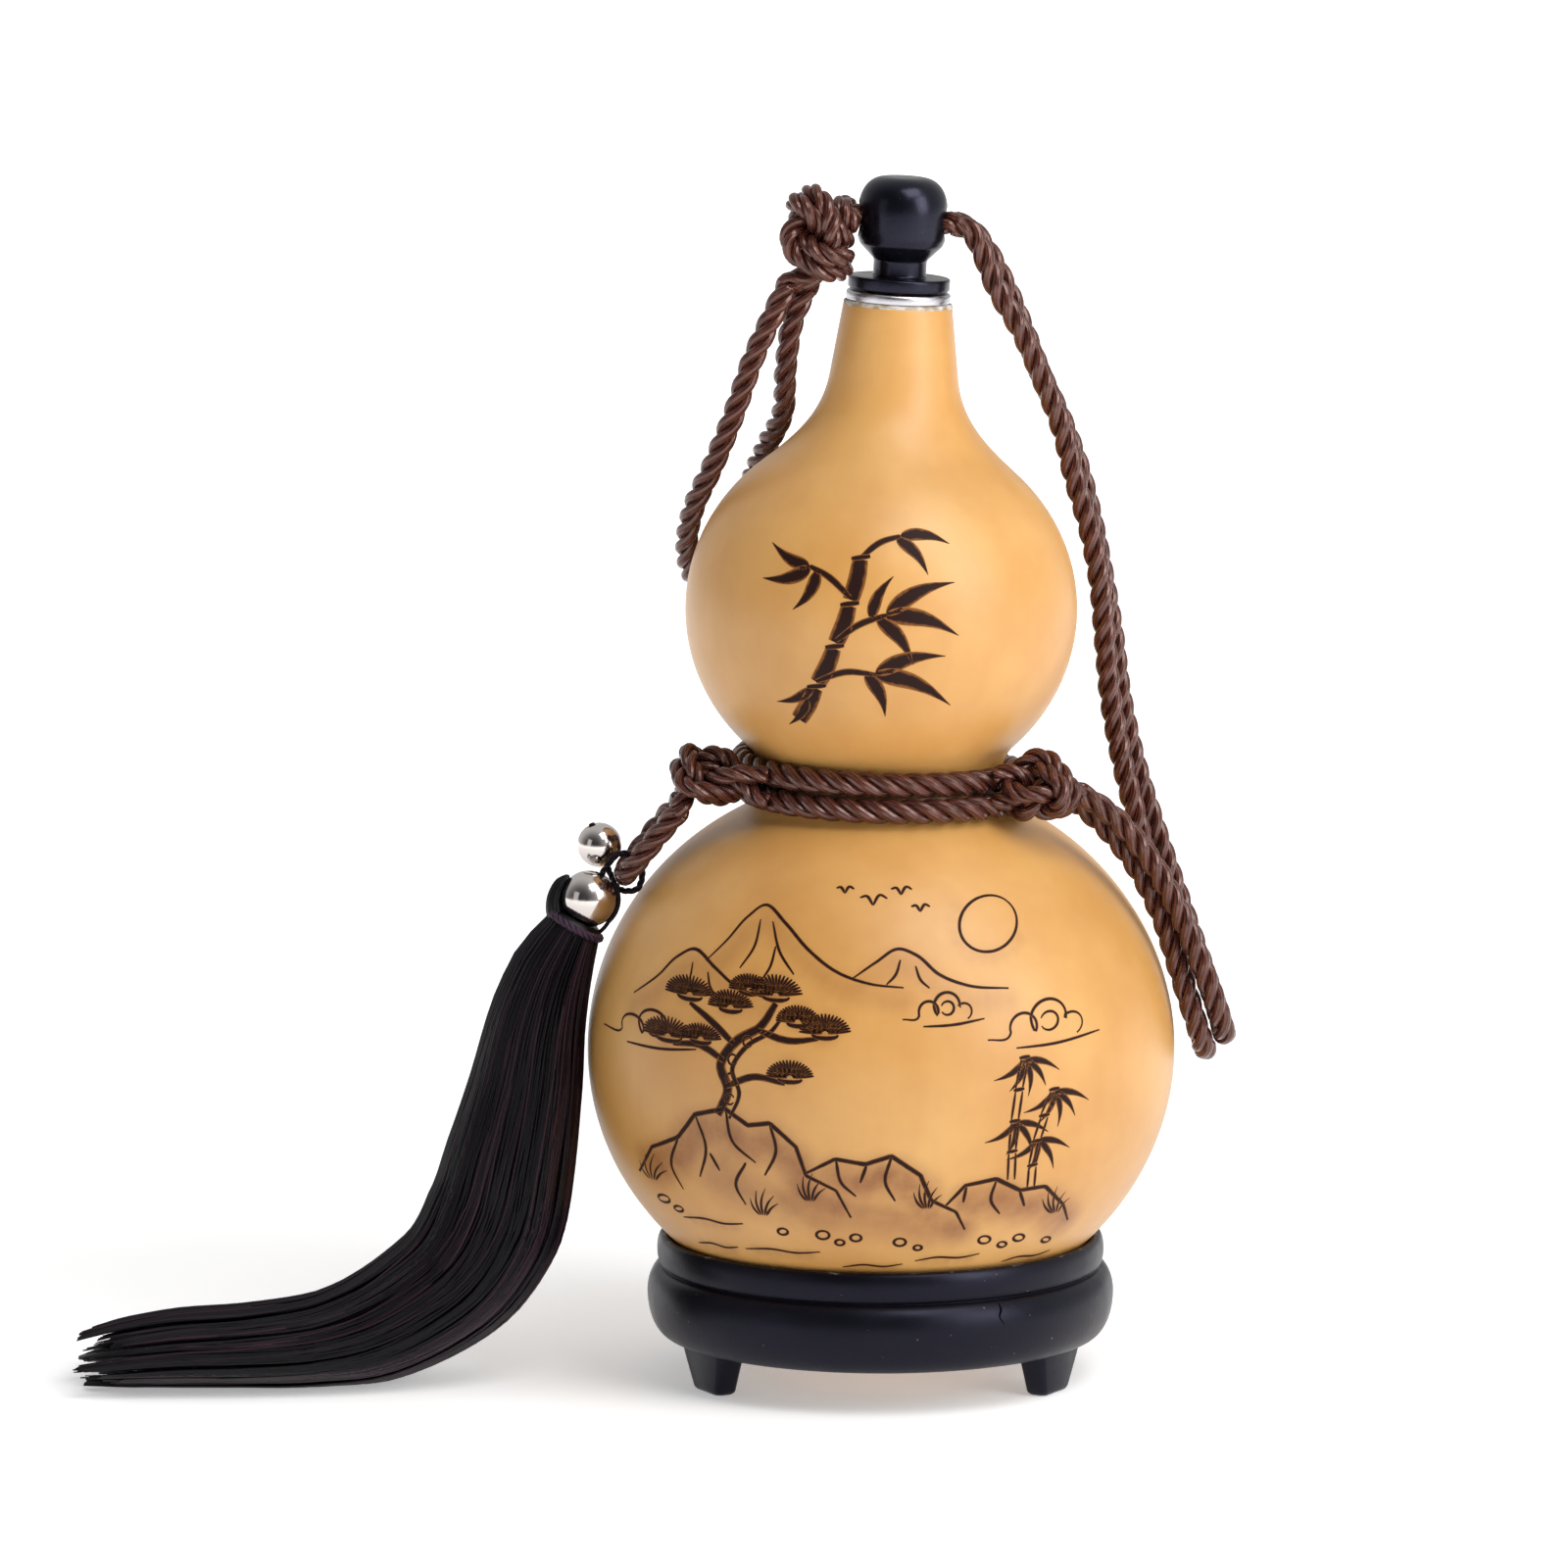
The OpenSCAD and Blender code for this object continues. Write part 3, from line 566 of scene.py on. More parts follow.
# %% Turn the gourd
def turn(line, around, wander=None):
    """Points and faces of an outline turned round Z. Its first and last points lie on the axis."""
    angle = 2 * math.pi * np.arange(around) / around
    r, z = line[1:-1, 0][:, None], line[1:-1, 1][:, None]
    if wander is not None:
        r = r + wander(angle[None, :], z)
    points = np.stack([r * np.cos(angle), r * np.sin(angle), z + 0 * angle], -1).reshape(-1, 3)
    rings = len(line) - 2
    faces = tube_faces(rings, around)
    first, last = len(points), len(points) + 1
    points = np.vstack([points, [[0, 0, line[0, 1]], [0, 0, line[-1, 1]]]])
    for j in range(around):
        k = (j + 1) % around
        faces.append([first, k, j])
        faces.append([last, (rings - 1) * around + j, (rings - 1) * around + k])
    return points, faces


def ease(x):
    """Goes smoothly from 0 to 1 as x does."""
    x = np.clip(x, 0, 1)
    return x * x * (3 - 2 * x)


def lean(points):
    """Leans what is above the upper bulb's middle, more and more up to the flare."""
    above = points[:, 2] - upper_z
    full = upper_bulb[1] * math.sin(math.radians(flare_angle))
    angle = math.radians(neck_lean) * ease(above / full)
    x, z = points[:, 0].copy(), above.copy()
    points[:, 0] = x * np.cos(angle) + z * np.sin(angle)
    points[:, 2] = upper_z - x * np.sin(angle) + z * np.cos(angle)
    return points


def grown(angle, z):
    """How far a grown gourd is from round at each place, in mm."""
    wave = (np.sin(2 * angle + z / 23) + 0.7 * np.sin(3 * angle - z / 15 + 1)
            + 0.5 * np.sin(5 * angle + z / 11 + 2))
    return 0.07 * wave * ease((upper_z + neck_root - z) / 20) * ease((z - 34) / 10)


gourd_columns = 384
gourd_points, gourd_faces = turn(gourd_line, gourd_columns, grown)
gourd_points = lean(gourd_points)
print(f"{len(gourd_points)} points in {gourd_columns} columns round the gourd")

# %% [markdown]
# The skin was scraped, dried to a golden tan and varnished. Its colour drifts in patches of 3 to 4 cm
# and in lengthwise streaks 4 mm wide. The varnish is a rough coat, which gives a soft, broad shine over
# pores 0.7 mm apart and shallow dents 9 mm wide. A little light goes under the skin and comes out
# again. Where the drawing has shaded areas, a hot iron browned the skin: a number at each point of the
# mesh says how much, and the shader mixes that brown in unevenly.

# %% Varnished gourd material
gourd_skin, tree, shader = new_material("varnished_gourd_skin", {
    "Roughness": 0.45, "IOR": 1.42, "Coat Weight": 0.6, "Coat Roughness": 0.42,
    "Subsurface Weight": 0.06, "Subsurface Scale": 0.002})
shader.inputs["Subsurface Radius"].default_value = (1.0, 0.45, 0.2)
place = add_node(tree, "ShaderNodeTexCoord")
drift = add_node(tree, "ShaderNodeTexNoise", {"Scale": 28.0, "Detail": 4.0, "Roughness": 0.55},
                 {"Vector": (place, "Object")})
tone = add_node(tree, "ShaderNodeValToRGB", {"stops": ((0.32, "#C48B42"), (0.68, "#D9A65F"))},
                {"Fac": (drift, "Fac")})
stretch = add_node(tree, "ShaderNodeMapping", {"Scale": (1, 1, 0.18)}, {"Vector": (place, "Object")})
streaks = add_node(tree, "ShaderNodeTexNoise", {"Scale": 260.0, "Detail": 3.0},
                   {"Vector": (stretch, "Vector")})
streak_amount = add_node(tree, "ShaderNodeMath", {"operation": "MULTIPLY", 1: 0.22}, {0: (streaks, "Fac")})
streaked = add_node(tree, "ShaderNodeMix", {"data_type": "RGBA", 7: linear("#B98043")},
                    {0: (streak_amount, "Value"), 6: (tone, "Color")})

# %% Browned places and relief of the skin
scorch = add_node(tree, "ShaderNodeAttribute", {"attribute_name": "scorch"})
blotches = add_node(tree, "ShaderNodeTexNoise", {"Scale": 160.0, "Detail": 5.0, "Roughness": 0.6},
                    {"Vector": (place, "Object")})
uneven = add_node(tree, "ShaderNodeMapRange", {1: 0.3, 2: 0.7, 3: 0.7, 4: 1.25}, {0: (blotches, "Fac")})
browned = add_node(tree, "ShaderNodeMath", {"operation": "MULTIPLY", "use_clamp": True},
                   {0: (scorch, "Fac"), 1: (uneven, 0)})
brown = add_node(tree, "ShaderNodeMix", {"data_type": "RGBA", 7: linear("#8C531D")},
                 {0: (browned, "Value"), 6: (streaked, 2)})
pores = add_node(tree, "ShaderNodeTexNoise", {"Scale": 1500.0, "Detail": 2.0}, {"Vector": (place, "Object")})
dents = add_node(tree, "ShaderNodeTexNoise", {"Scale": 110.0, "Detail": 2.0}, {"Vector": (place, "Object")})
relief = add_node(tree, "ShaderNodeMath", {"operation": "MULTIPLY_ADD", 1: 4.0},
                  {0: (dents, "Fac"), 2: (pores, "Fac")})
skin_bump = add_node(tree, "ShaderNodeBump", {"Strength": 0.25, "Distance": 0.05 * MM},
                     {"Height": (relief, "Value")})
tree.links.new(brown.outputs[2], shader.inputs["Base Color"])
tree.links.new(skin_bump.outputs["Normal"], shader.inputs["Normal"])

# %% Gourd
gourd = make_piece("gourd", gourd_points, gourd_faces, gourd_skin, "bottle")
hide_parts("gourd_shell")

# %% [markdown]
# ## The burnt drawing
#
# The front is decorated with a hot iron, which turns the skin dark brown wherever it rests. The bold
# strokes of the upper bulb are pressed and lifted like a brush. The lower bulb has a landscape in fine
# lines with softly browned rocks. The motifs are general ones: bamboo, a pine, hills, rocks, a moon and
# birds. Each line is a narrow strip that lies 0.03 mm over the skin. Its points are placed on the mesh
# by looking for the nearest place on it, so it follows the swelling of the bulbs. The edges of a strip
# are a lighter brown than its middle, as a real burn fades out.

# %% Strokes
skin_tree = BVHTree.FromPolygons(gourd_points.tolist(), gourd_faces)
iron_tip = 1.45
strokes, shaded = [], []


def on_skin(x, z):
    """The place on the front of the gourd that lies straight behind (x, z)."""
    return np.array(skin_tree.ray_cast(Vector((x, -150, z)), Vector((0, 1, 0)))[0])


def burn(points, width, ends=0.35, press=0.0, curved=True):
    """Burns a line through (x, z) points. width is a share of the iron's tip, and ends a share of the
    width that is left at both tips of the line. press fattens its start, as when the iron rests there
    first. Only a curved line is rounded at its points."""
    flat = np.array([(x, 0, z) for x, z in points], float)
    step = min(0.6, path_length(flat) / 14)
    flat = smooth_path(flat, step) if curved and len(flat) > 2 else evenly(flat, step)
    middle = np.array([on_skin(x, z) for x, _, z in flat])
    u = np.linspace(0, 1, len(middle))
    full = ends + (1 - ends) * np.sin(math.pi * np.clip(u, 0.02, 0.98)) ** 0.5
    strokes.append((middle, iron_tip * width * full * (1 + press * (1 - u) ** 3)))


def shade(points, radius, amount):
    """Browns the skin softly round a line of (x, z) points."""
    flat = evenly(np.array([(x, 0, z) for x, z in points], float), 2)
    shaded.append((np.array([on_skin(x, z) for x, _, z in flat]), radius, amount))


def leaf(x, z, degrees, length, width):
    """A bamboo leaf: one pressed stroke that ends in a long point."""
    a = math.radians(degrees)
    along, across = np.array([math.cos(a), math.sin(a)]), np.array([-math.sin(a), math.cos(a)])
    flat = [np.array([x, z]) + along * length * u + across * length * 0.1 * math.sin(math.pi * u)
            for u in np.linspace(0, 1, 7)]
    middle = smooth_path(np.array([(p[0], 0, p[1]) for p in flat]), 0.6)
    middle = np.array([on_skin(p[0], p[2]) for p in middle])
    u = np.linspace(0, 1, len(middle))
    strokes.append((middle, 0.15 + width * np.sin(math.pi * u ** 0.62) ** 1.1 * (1 - 0.25 * u)))


# %% Upper bulb: a spray of bamboo in bold strokes
stem = [(-17, 139.5), (-13.2, 147.6), (-9.6, 156), (-6.6, 164.6), (-4.4, 173.6)]
for low, high in zip(stem[:-1], stem[1:]):
    rise = np.array(high) - low
    burn([low + 0.06 * rise, low + 0.5 * rise + (0.25, 0), low + 0.93 * rise], 2.5, 0.8, 0.1)
    burn([high - 0.02 * rise + (-1.9, -0.3), high - 0.02 * rise + (1.9, 0.2)], 0.8, 0.5)
for twig in ([(-9.4, 157), (-4.6, 160.4), (0.6, 162.2)], [(-13.4, 148.4), (-7.4, 150.6), (-1.6, 150.2)],
             [(-6.6, 165.6), (-11, 169.6), (-14.6, 171.4)], [(-4.4, 173.4), (-0.6, 176.2), (3.4, 177.4)]):
    burn(twig, 1.0, 0.5)
for x, z, degrees, length, width in (
        (0.6, 162.2, 24, 15, 3.6), (0.2, 162, -16, 15.5, 3.9), (-1.4, 161.6, -52, 12, 3.3),
        (-2.4, 161.4, 62, 9.5, 2.7), (-1.6, 150.2, 14, 14.5, 3.6), (-2, 150.2, -24, 17, 4.0),
        (-3.6, 150.4, -66, 10, 3.2), (-14.6, 171.4, 152, 8.5, 2.8), (-14.4, 171.2, 196, 10, 3.3),
        (-13, 170.8, 238, 9.5, 3.0), (3.4, 177.4, -10, 10, 2.9), (2.6, 177, -48, 9.5, 2.8),
        (-14, 147, 206, 8, 2.4), (-15, 144.6, 238, 7, 2.2)):
    leaf(x, z, degrees, length, width)
print("Strokes so far:", len(strokes))


# %% Lower bulb: hills, moon and birds
def arc(x, z, r, start, stop, squash=1.0, n=16):
    """(x, z) points of an arc or an oval round (x, z)."""
    t = np.radians(np.linspace(start, stop, n))
    return list(zip(x + r * np.cos(t), z + r * squash * np.sin(t)))


for points in ([(-50, 84), (-45, 88.4), (-41, 92.6), (-37.6, 94.4), (-33.6, 91.6), (-29.4, 88.6), (-24, 87)],
               [(-35.4, 92.6), (-31, 97), (-27, 101.4), (-23.2, 103.8), (-19.6, 101), (-15, 96.4),
                (-9.6, 92.6), (-3, 90.4), (4, 89.6)],
               [(-6, 91.4), (-1.4, 94.4), (3, 96.8), (6.6, 95.6), (11, 92), (17, 89.6), (25, 88.6)]):
    burn(points, 0.55)
    shade(np.array(points) - (0, 2.6), 4.6, 0.3)
for points in ([(-38, 92), (-38.8, 88.6), (-41, 86)], [(-35, 90.6), (-34.4, 87.6), (-32.6, 85.6)],
               [(-24.4, 101.2), (-25.6, 96.4), (-28.6, 92)], [(-22, 101), (-20.6, 95.6), (-17.8, 91.6)],
               [(-21.4, 96.6), (-22.6, 92.6), (-24.4, 90)], [(3.4, 94.8), (2.4, 92), (0.6, 90.2)],
               [(6.4, 93.6), (7.4, 91), (9.2, 89.4)]):
    burn(points, 0.45)
burn(arc(21, 100.6, 5.8, 40, 403, 0.86, 30), 0.5, 0.6)
shade(arc(21, 100.6, 6.8, 150, 330, 0.86), 3.2, 0.2)
for x, z, size in ((-2, 104.6, 2.6), (3.6, 106.4, 2.0), (7.4, 103.4, 1.8), (-7.6, 106.6, 1.7)):
    burn([(x - size, z + 0.5 * size), (x - 0.5 * size, z + 0.62 * size), (x, z)], 0.5)
    burn([(x, z), (x + 0.55 * size, z + 0.7 * size), (x + 1.1 * size, z + 0.45 * size)], 0.5)
print("Strokes so far:", len(strokes))

# %% Lower bulb: banks of cloud
for x, z, size in ((33, 79, 3.6), (-46, 76, 3.0), (12.6, 83.6, 2.6)):
    burn([(x - 3.4 * size, z), (x - 2.2 * size, z + 0.1 * size),
          *arc(x - 1.4 * size, z + 0.55 * size, 0.75 * size, 200, -20),
          *arc(x, z + 0.9 * size, size, 170, -10),
          *arc(x + 1.3 * size, z + 0.45 * size, 0.62 * size, 130, -60)], 0.5)
    burn(arc(x + 0.05 * size, z + 0.75 * size, 0.5 * size, 160, -150, 1, 20), 0.45)
    burn([(x - 1.8 * size, z - 0.55 * size), (x + 0.4 * size, z - 0.5 * size),
          (x + 2.9 * size, z - 0.15 * size)], 0.45)
print("Strokes so far:", len(strokes))

# %% Lower bulb: rocks
rocks = (
    [(-49, 47), (-46.4, 53.6), (-41, 57), (-37.6, 62.4), (-31.6, 64.4), (-27, 61.4),
     (-22.6, 62.2), (-17.4, 57.6), (-15.4, 51.6), (-9.4, 48.6), (-6.4, 42.6)],
    [(-15.6, 52), (-9.6, 55.4), (-3.6, 54.4), (1.6, 56.2), (7.4, 52), (9.6, 46.4),
     (14.6, 43.6), (16.4, 39.4)],
    [(12.4, 45), (16.4, 49.4), (22.6, 50.4), (27.4, 47.4), (32.6, 47.6), (36.4, 42.6), (37.4, 38.6)],
)
for points in rocks:
    burn(points, 0.75, 0.3, 0.2, curved=False)
    shade(np.array(points)[1:-1] - (0, 4.2), 7.5, 0.85)
for points in ([(-41, 57), (-42.4, 50.6), (-40, 45.4)], [(-37.4, 62), (-35.4, 55.6), (-36.6, 49)],
               [(-31.4, 64), (-30, 57.6), (-25.4, 53.6)], [(-22.6, 62), (-21.4, 56.4), (-23.6, 51)],
               [(-27.4, 53.4), (-29.4, 48.4), (-27.4, 44)], [(-34.6, 54.6), (-32.6, 51)],
               [(-9.4, 55), (-8.4, 50.4), (-5.4, 47.4)], [(1.6, 56), (0.4, 50.6), (2.4, 46.4)],
               [(-3.4, 54), (-4.6, 50.4)], [(22.6, 50), (21.6, 45.6), (23.4, 42.4)],
               [(27.4, 47.2), (28.4, 43.6)], [(16.6, 49), (16, 45.6)]):
    burn(points, 0.55, 0.3, 0.3)
shade([(-30, 56), (-34, 50), (-26, 47), (-14, 44), (-2, 43), (10, 40)], 9, 0.6)
shade([(18, 44), (30, 42)], 6, 0.5)
print("Strokes so far:", len(strokes))

# %% Lower bulb: pebbles, bare ground and grass
for x, z, r in ((-44, 42, 1.2), (-41, 40.4, 0.9), (-12, 38.4, 1.3), (-8.6, 36.8, 0.9), (-5.4, 38, 1.1),
                (3.4, 37, 1.2), (7, 35.6, 0.8), (20.4, 36.6, 1.2), (24, 35, 0.9), (27.4, 36.2, 1.1),
                (33, 34.6, 0.9), (-20, 38.6, 1.0)):
    burn(arc(x, z, r, 70, 432, 0.75), 0.5, 0.8)
for x, z, width in ((-34, 38.6, 12), (-20, 33.4, 15), (-2, 30.8, 12), (13, 32.4, 13), (29, 30.6, 10),
                    (-33, 32.6, 8)):
    burn([(x - width / 2, z), (x - width / 6, z + 0.7), (x + width / 5, z + 0.3),
          (x + width / 2, z + 0.9)], 0.5)
    shade([(x - width / 3, z), (x + width / 3, z)], 2.6, 0.35)
for x, z in ((-46.4, 46), (-14.6, 46), (8.6, 44.6), (34.6, 41), (-24, 42)):
    for degrees, length in ((118, 4.2), (101, 5.6), (86, 6.2), (69, 5), (52, 3.8)):
        leaf(x + (90 - degrees) * 0.02, z, degrees, length, 0.55)
print("Strokes so far:", len(strokes))

# %% Lower bulb: a pine on the left
trunk = [(-33, 63), (-31, 68.4), (-32.4, 73), (-29.4, 78), (-24.4, 81.4), (-21.4, 86)]
burn(trunk, 1.5, 0.6, 0.3)
burn(np.array(trunk) + (2.3, -0.6), 0.8, 0.4)
for x, z in ((-30.6, 66.4), (-30.4, 70.6), (-30, 74.4), (-27, 78.2)):
    burn(arc(x, z, 0.9, 20, 330, 1.2, 10), 0.4)
branches = ([(-31.6, 74), (-37, 76.6), (-42, 76)], [(-29.8, 77.6), (-35, 82), (-38.6, 84.4)],
            [(-25, 80.6), (-19, 79), (-13, 79.6)], [(-31.4, 69), (-25.6, 71.4), (-19.6, 70.4)])
for branch in branches:
    burn(branch, 1.0, 0.4, 0.4)
for x, z, r in ((-43, 77.4, 5.2), (-38.6, 86, 5), (-30.4, 84.6, 4.6), (-21.4, 87.6, 5.4), (-11.6, 80.8, 5.2),
                (-17, 82.8, 4.4), (-18.6, 71.8, 4.8), (-36.4, 77.8, 4.2), (-26.6, 88.2, 4.2)):
    for degrees in range(8, 180, 9):
        a = math.radians(degrees)
        burn([(x + 0.6 * math.cos(a), z + 0.4 * math.sin(a)),
              (x + r * math.cos(a), z + 0.72 * r * math.sin(a))], 0.5, 0.3, 0.5)
    burn(arc(x, z - 0.3, 0.5 * r, 180, 360, 0.28, 8), 0.7)
    shade([(x, z + 1)], 0.95 * r, 0.6)
print("Strokes so far:", len(strokes))

# %% Lower bulb: bamboo on the right
for x, low, high, bend in ((25.6, 49.6, 75, 2.6), (29.6, 47.4, 68, 4.6)):
    knots = np.linspace(low, high, 5)
    for a, b in zip(knots[:-1], knots[1:]):
        at = [x + bend * ((z - low) / (high - low)) ** 2 for z in (a, b)]
        for side in (-0.7, 0.7):
            burn([(at[0] + side, a + 0.3), (at[1] + side, b - 0.3)], 0.45)
        burn([(at[1] - 1.1, b), (at[1] + 1.1, b + 0.2)], 0.6)
for x, z, count in ((26.6, 62, 4), (28.4, 74.6, 5), (31, 58, 4), (34.4, 67.6, 5)):
    for k in range(count):
        leaf(x, z, -150 + 128 * k / (count - 1), 7.4 - 0.5 * (k % 2), 1.5)
print("Strokes so far:", len(strokes))


# %% [markdown]
# The strokes become one mesh of narrow strips, four points across. Its outer points are burnt to a
# quarter and its inner ones fully, and a noise with grains of 1.4 mm makes the char uneven. The shaded
# places aren't strips: they brown the gourd's own skin, less with the distance from the shaded line.

# %% Strips on a surface
def strips(lines, surface, lift):
    """Lines as narrow strips on a surface. The second value is how dark each point is burnt."""
    points, dark, faces = [], [], []
    for middle, width in lines:
        heading = np.gradient(middle, axis=0)
        first = len(points)
        for p, d, w in zip(middle, heading, width):
            normal = np.array(surface.find_nearest(Vector(p))[1])
            across = np.cross(normal, d)
            across /= np.linalg.norm(across)
            for share, burnt in ((-0.5, 0.25), (-0.22, 1), (0.22, 1), (0.5, 0.25)):
                place, n, _, _ = surface.find_nearest(Vector(p + across * w * share))
                points.append(np.array(place) + lift * np.array(n))
                dark.append(burnt)
        for i in range(len(middle) - 1):
            for k in range(3):
                a = first + 4 * i + k
                faces.append([a, a + 1, a + 5, a + 4])
    return np.array(points), dark, faces


# %% Burnt line material
burnt_line, tree, shader = new_material("burnt_line_in_gourd_skin", {
    "Roughness": 0.55, "IOR": 1.4, "Specular IOR Level": 0.25})
depth = add_node(tree, "ShaderNodeAttribute", {"attribute_name": "burnt"})
place = add_node(tree, "ShaderNodeTexCoord")
char = add_node(tree, "ShaderNodeTexNoise", {"Scale": 700.0, "Detail": 3.0}, {"Vector": (place, "Object")})
charred = add_node(tree, "ShaderNodeMath", {"operation": "MULTIPLY_ADD", 1: 0.7, 2: -0.35},
                   {0: (char, "Fac")})
total = add_node(tree, "ShaderNodeMath", {"operation": "ADD", "use_clamp": True},
                 {0: (depth, "Fac"), 1: (charred, 0)})
burnt_tone = add_node(tree, "ShaderNodeValToRGB", {"stops": ((0.1, "#A0652F"), (0.8, "#220A05"))},
                      {"Fac": (total, 0)})
tree.links.new(burnt_tone.outputs["Color"], shader.inputs["Base Color"])

# %% Drawing and browned skin
points, dark, faces = strips(strokes, skin_tree, 0.03)
drawing = make_piece("burnt_drawing", points, faces, burnt_line, "bottle")
store(drawing, "burnt", dark)

brown_skin = np.zeros(len(gourd_points))
front = np.flatnonzero(gourd_points[:, 1] < -5)
for middle, radius, amount in shaded:
    near = np.linalg.norm(gourd_points[front][:, None] - middle[None], axis=2).min(1)
    brown_skin[front] = np.maximum(brown_skin[front], amount * ease(1 - near / radius))
store(gourd, "scorch", brown_skin)
print(f"{len(shaded)} shaded places, which brown {(brown_skin > 0).sum()} points of the gourd")

# %% [markdown]
# ## Stopper, ferrule and stand
#
# Stopper and stand are turned wood under black lacquer, and the ferrule is spun aluminium. The CAD
# model holds these shapes, but its round profiles are cut into a few steps, which would show as bands
# in a soft highlight. So the same profiles are turned again with many more steps. A lathe cut leaves no
# knife edges either: each corner of a profile is replaced by a small curve, and the light that this
# edge catches is what makes a piece look solid.

# %% Turned profiles
def soften(line, r):
    """The line with each inner corner rounded. r is how far the curve reaches from the corner."""
    line = np.asarray(line, float)
    out = [line[0]]
    for before, corner, after in zip(line[:-2], line[1:-1], line[2:]):
        a, b = before - corner, after - corner
        la, lb = np.linalg.norm(a), np.linalg.norm(b)
        p = corner + a / la * min(r, 0.45 * la)
        q = corner + b / lb * min(r, 0.45 * lb)
        u = np.linspace(0, 1, 5)[:, None]
        out += list((1 - u)**2 * p + 2 * (1 - u) * u * corner + u**2 * q)
    return np.array([*out, line[-1]])


def closed_faces(rings, around):
    """Faces of a ring shape: as tube_faces, but its last ring of points joins its first."""
    return [[i * around + j, i * around + (j + 1) % around,
             (i + 1) % rings * around + (j + 1) % around, (i + 1) % rings * around + j]
            for i in range(rings) for j in range(around)]


def inside_out(faces):
    """The same four-sided faces, each seen from its other side."""
    return [[a, d, c, b] for a, b, c, d in faces]


def turned_ring(line, around):
    """Points and faces of a closed outline turned round Z."""
    angle = 2 * math.pi * np.arange(around) / around
    points = np.stack([line[:, :1] * np.cos(angle), line[:, :1] * np.sin(angle),
                       line[:, 1:] + 0 * angle], -1).reshape(-1, 3)
    return points, closed_faces(len(line), around)


def tipped(points, degrees):
    """Points tipped to the right about the origin."""
    t = math.radians(degrees)
    x, y, z = points.T
    return np.stack([x * math.cos(t) + z * math.sin(t), y, z * math.cos(t) - x * math.sin(t)], -1)


def on_neck(points):
    """Moves points from an upright neck to the leaning one. Their z is counted from the upper bulb."""
    return tipped(points, neck_lean) + (0, 0, upper_z)


# %% [markdown]
# The lacquer is a black film with a bluish cast that levels out over the wood, satin on the stopper and
# duller on the stand. Faint waves of 11 mm and grains of 1 mm break its shine, and pale specks of dust
# sit in it. Along the stand's upper edge the film is rubbed through in patches.

# %% Black lacquer material
def lacquer(name, base, dust_colour, roughness, dust, gloss, worn_edge=None):
    """Black lacquer over wood. dust is how much of the film has specks, worn_edge a height that is rubbed."""
    material, tree, shader = new_material(name, {
        "Roughness": roughness, "IOR": 1.5, "Specular IOR Level": gloss, "Specular Tint": linear("#CFCDF4")})
    place = add_node(tree, "ShaderNodeTexCoord")
    film = add_node(tree, "ShaderNodeTexNoise", {"Scale": 90.0, "Detail": 5.0}, {"Vector": (place, "Object")})
    specks = add_node(tree, "ShaderNodeTexNoise", {"Scale": 900.0, "Detail": 2.0},
                      {"Vector": (place, "Object")})
    speck = add_node(tree, "ShaderNodeMapRange", {1: 1 - dust, 2: 1.03 - dust, 3: 0.0, 4: 1.0},
                     {0: (specks, "Fac")})
    tint = add_node(tree, "ShaderNodeMix", {"data_type": "RGBA", 6: linear(base), 7: linear(dust_colour)},
                    {0: (speck, 0)})
    if worn_edge:
        height = add_node(tree, "ShaderNodeSeparateXYZ", {}, {"Vector": (place, "Object")})
        near_edge = add_node(tree, "ShaderNodeMapRange", {
            1: (worn_edge - 1.1) * MM, 2: worn_edge * MM, 3: 0.0, 4: 0.34}, {0: (height, "Z")})
        patchy = add_node(tree, "ShaderNodeTexNoise", {"Scale": 240.0, "Detail": 6.0, "Roughness": 0.7},
                          {"Vector": (place, "Object")})
        rubbed = add_node(tree, "ShaderNodeMath", {"operation": "ADD"},
                          {0: (near_edge, 0), 1: (patchy, "Fac")})
        wear = add_node(tree, "ShaderNodeMapRange", {1: 0.9, 2: 0.99, 3: 0.0, 4: 0.7}, {0: (rubbed, 0)})
        tint = add_node(tree, "ShaderNodeMix", {"data_type": "RGBA", 7: linear("#8D8A8C")},
                        {0: (wear, 0), 6: (tint, 2)})
    dull = add_node(tree, "ShaderNodeMapRange", {1: 0.3, 2: 0.7, 3: roughness - 0.06, 4: roughness + 0.08},
                    {0: (film, "Fac")})
    brushed_on = add_node(tree, "ShaderNodeMath", {"operation": "MULTIPLY_ADD", 1: 0.25},
                          {0: (specks, "Fac"), 2: (film, "Fac")})
    bump = add_node(tree, "ShaderNodeBump", {"Strength": 0.35, "Distance": 0.25 * MM},
                    {"Height": (brushed_on, 0)})
    tree.links.new(tint.outputs[2], shader.inputs["Base Color"])
    tree.links.new(dull.outputs[0], shader.inputs["Roughness"])
    tree.links.new(bump.outputs["Normal"], shader.inputs["Normal"])
    return material


stopper_lacquer = lacquer("satin_black_lacquer_stopper", "#08080E", "#22212A", 0.25, 0.3, gloss=0.4)
stand_lacquer = lacquer("black_lacquer_stand", "#09090F", "#6A635C", 0.36, 0.245, gloss=0.3, worn_edge=29.5)

# %% [markdown]
# ### Stopper
#
# The knob, its stem, the flange that sits on the ferrule and the spigot for the cork are one turned
# piece. The cord runs through a hole across the knob. A hole is easiest to drill as on the bench: a
# round rod is taken away from the solid knob with a Boolean, and the result replaces the mesh.

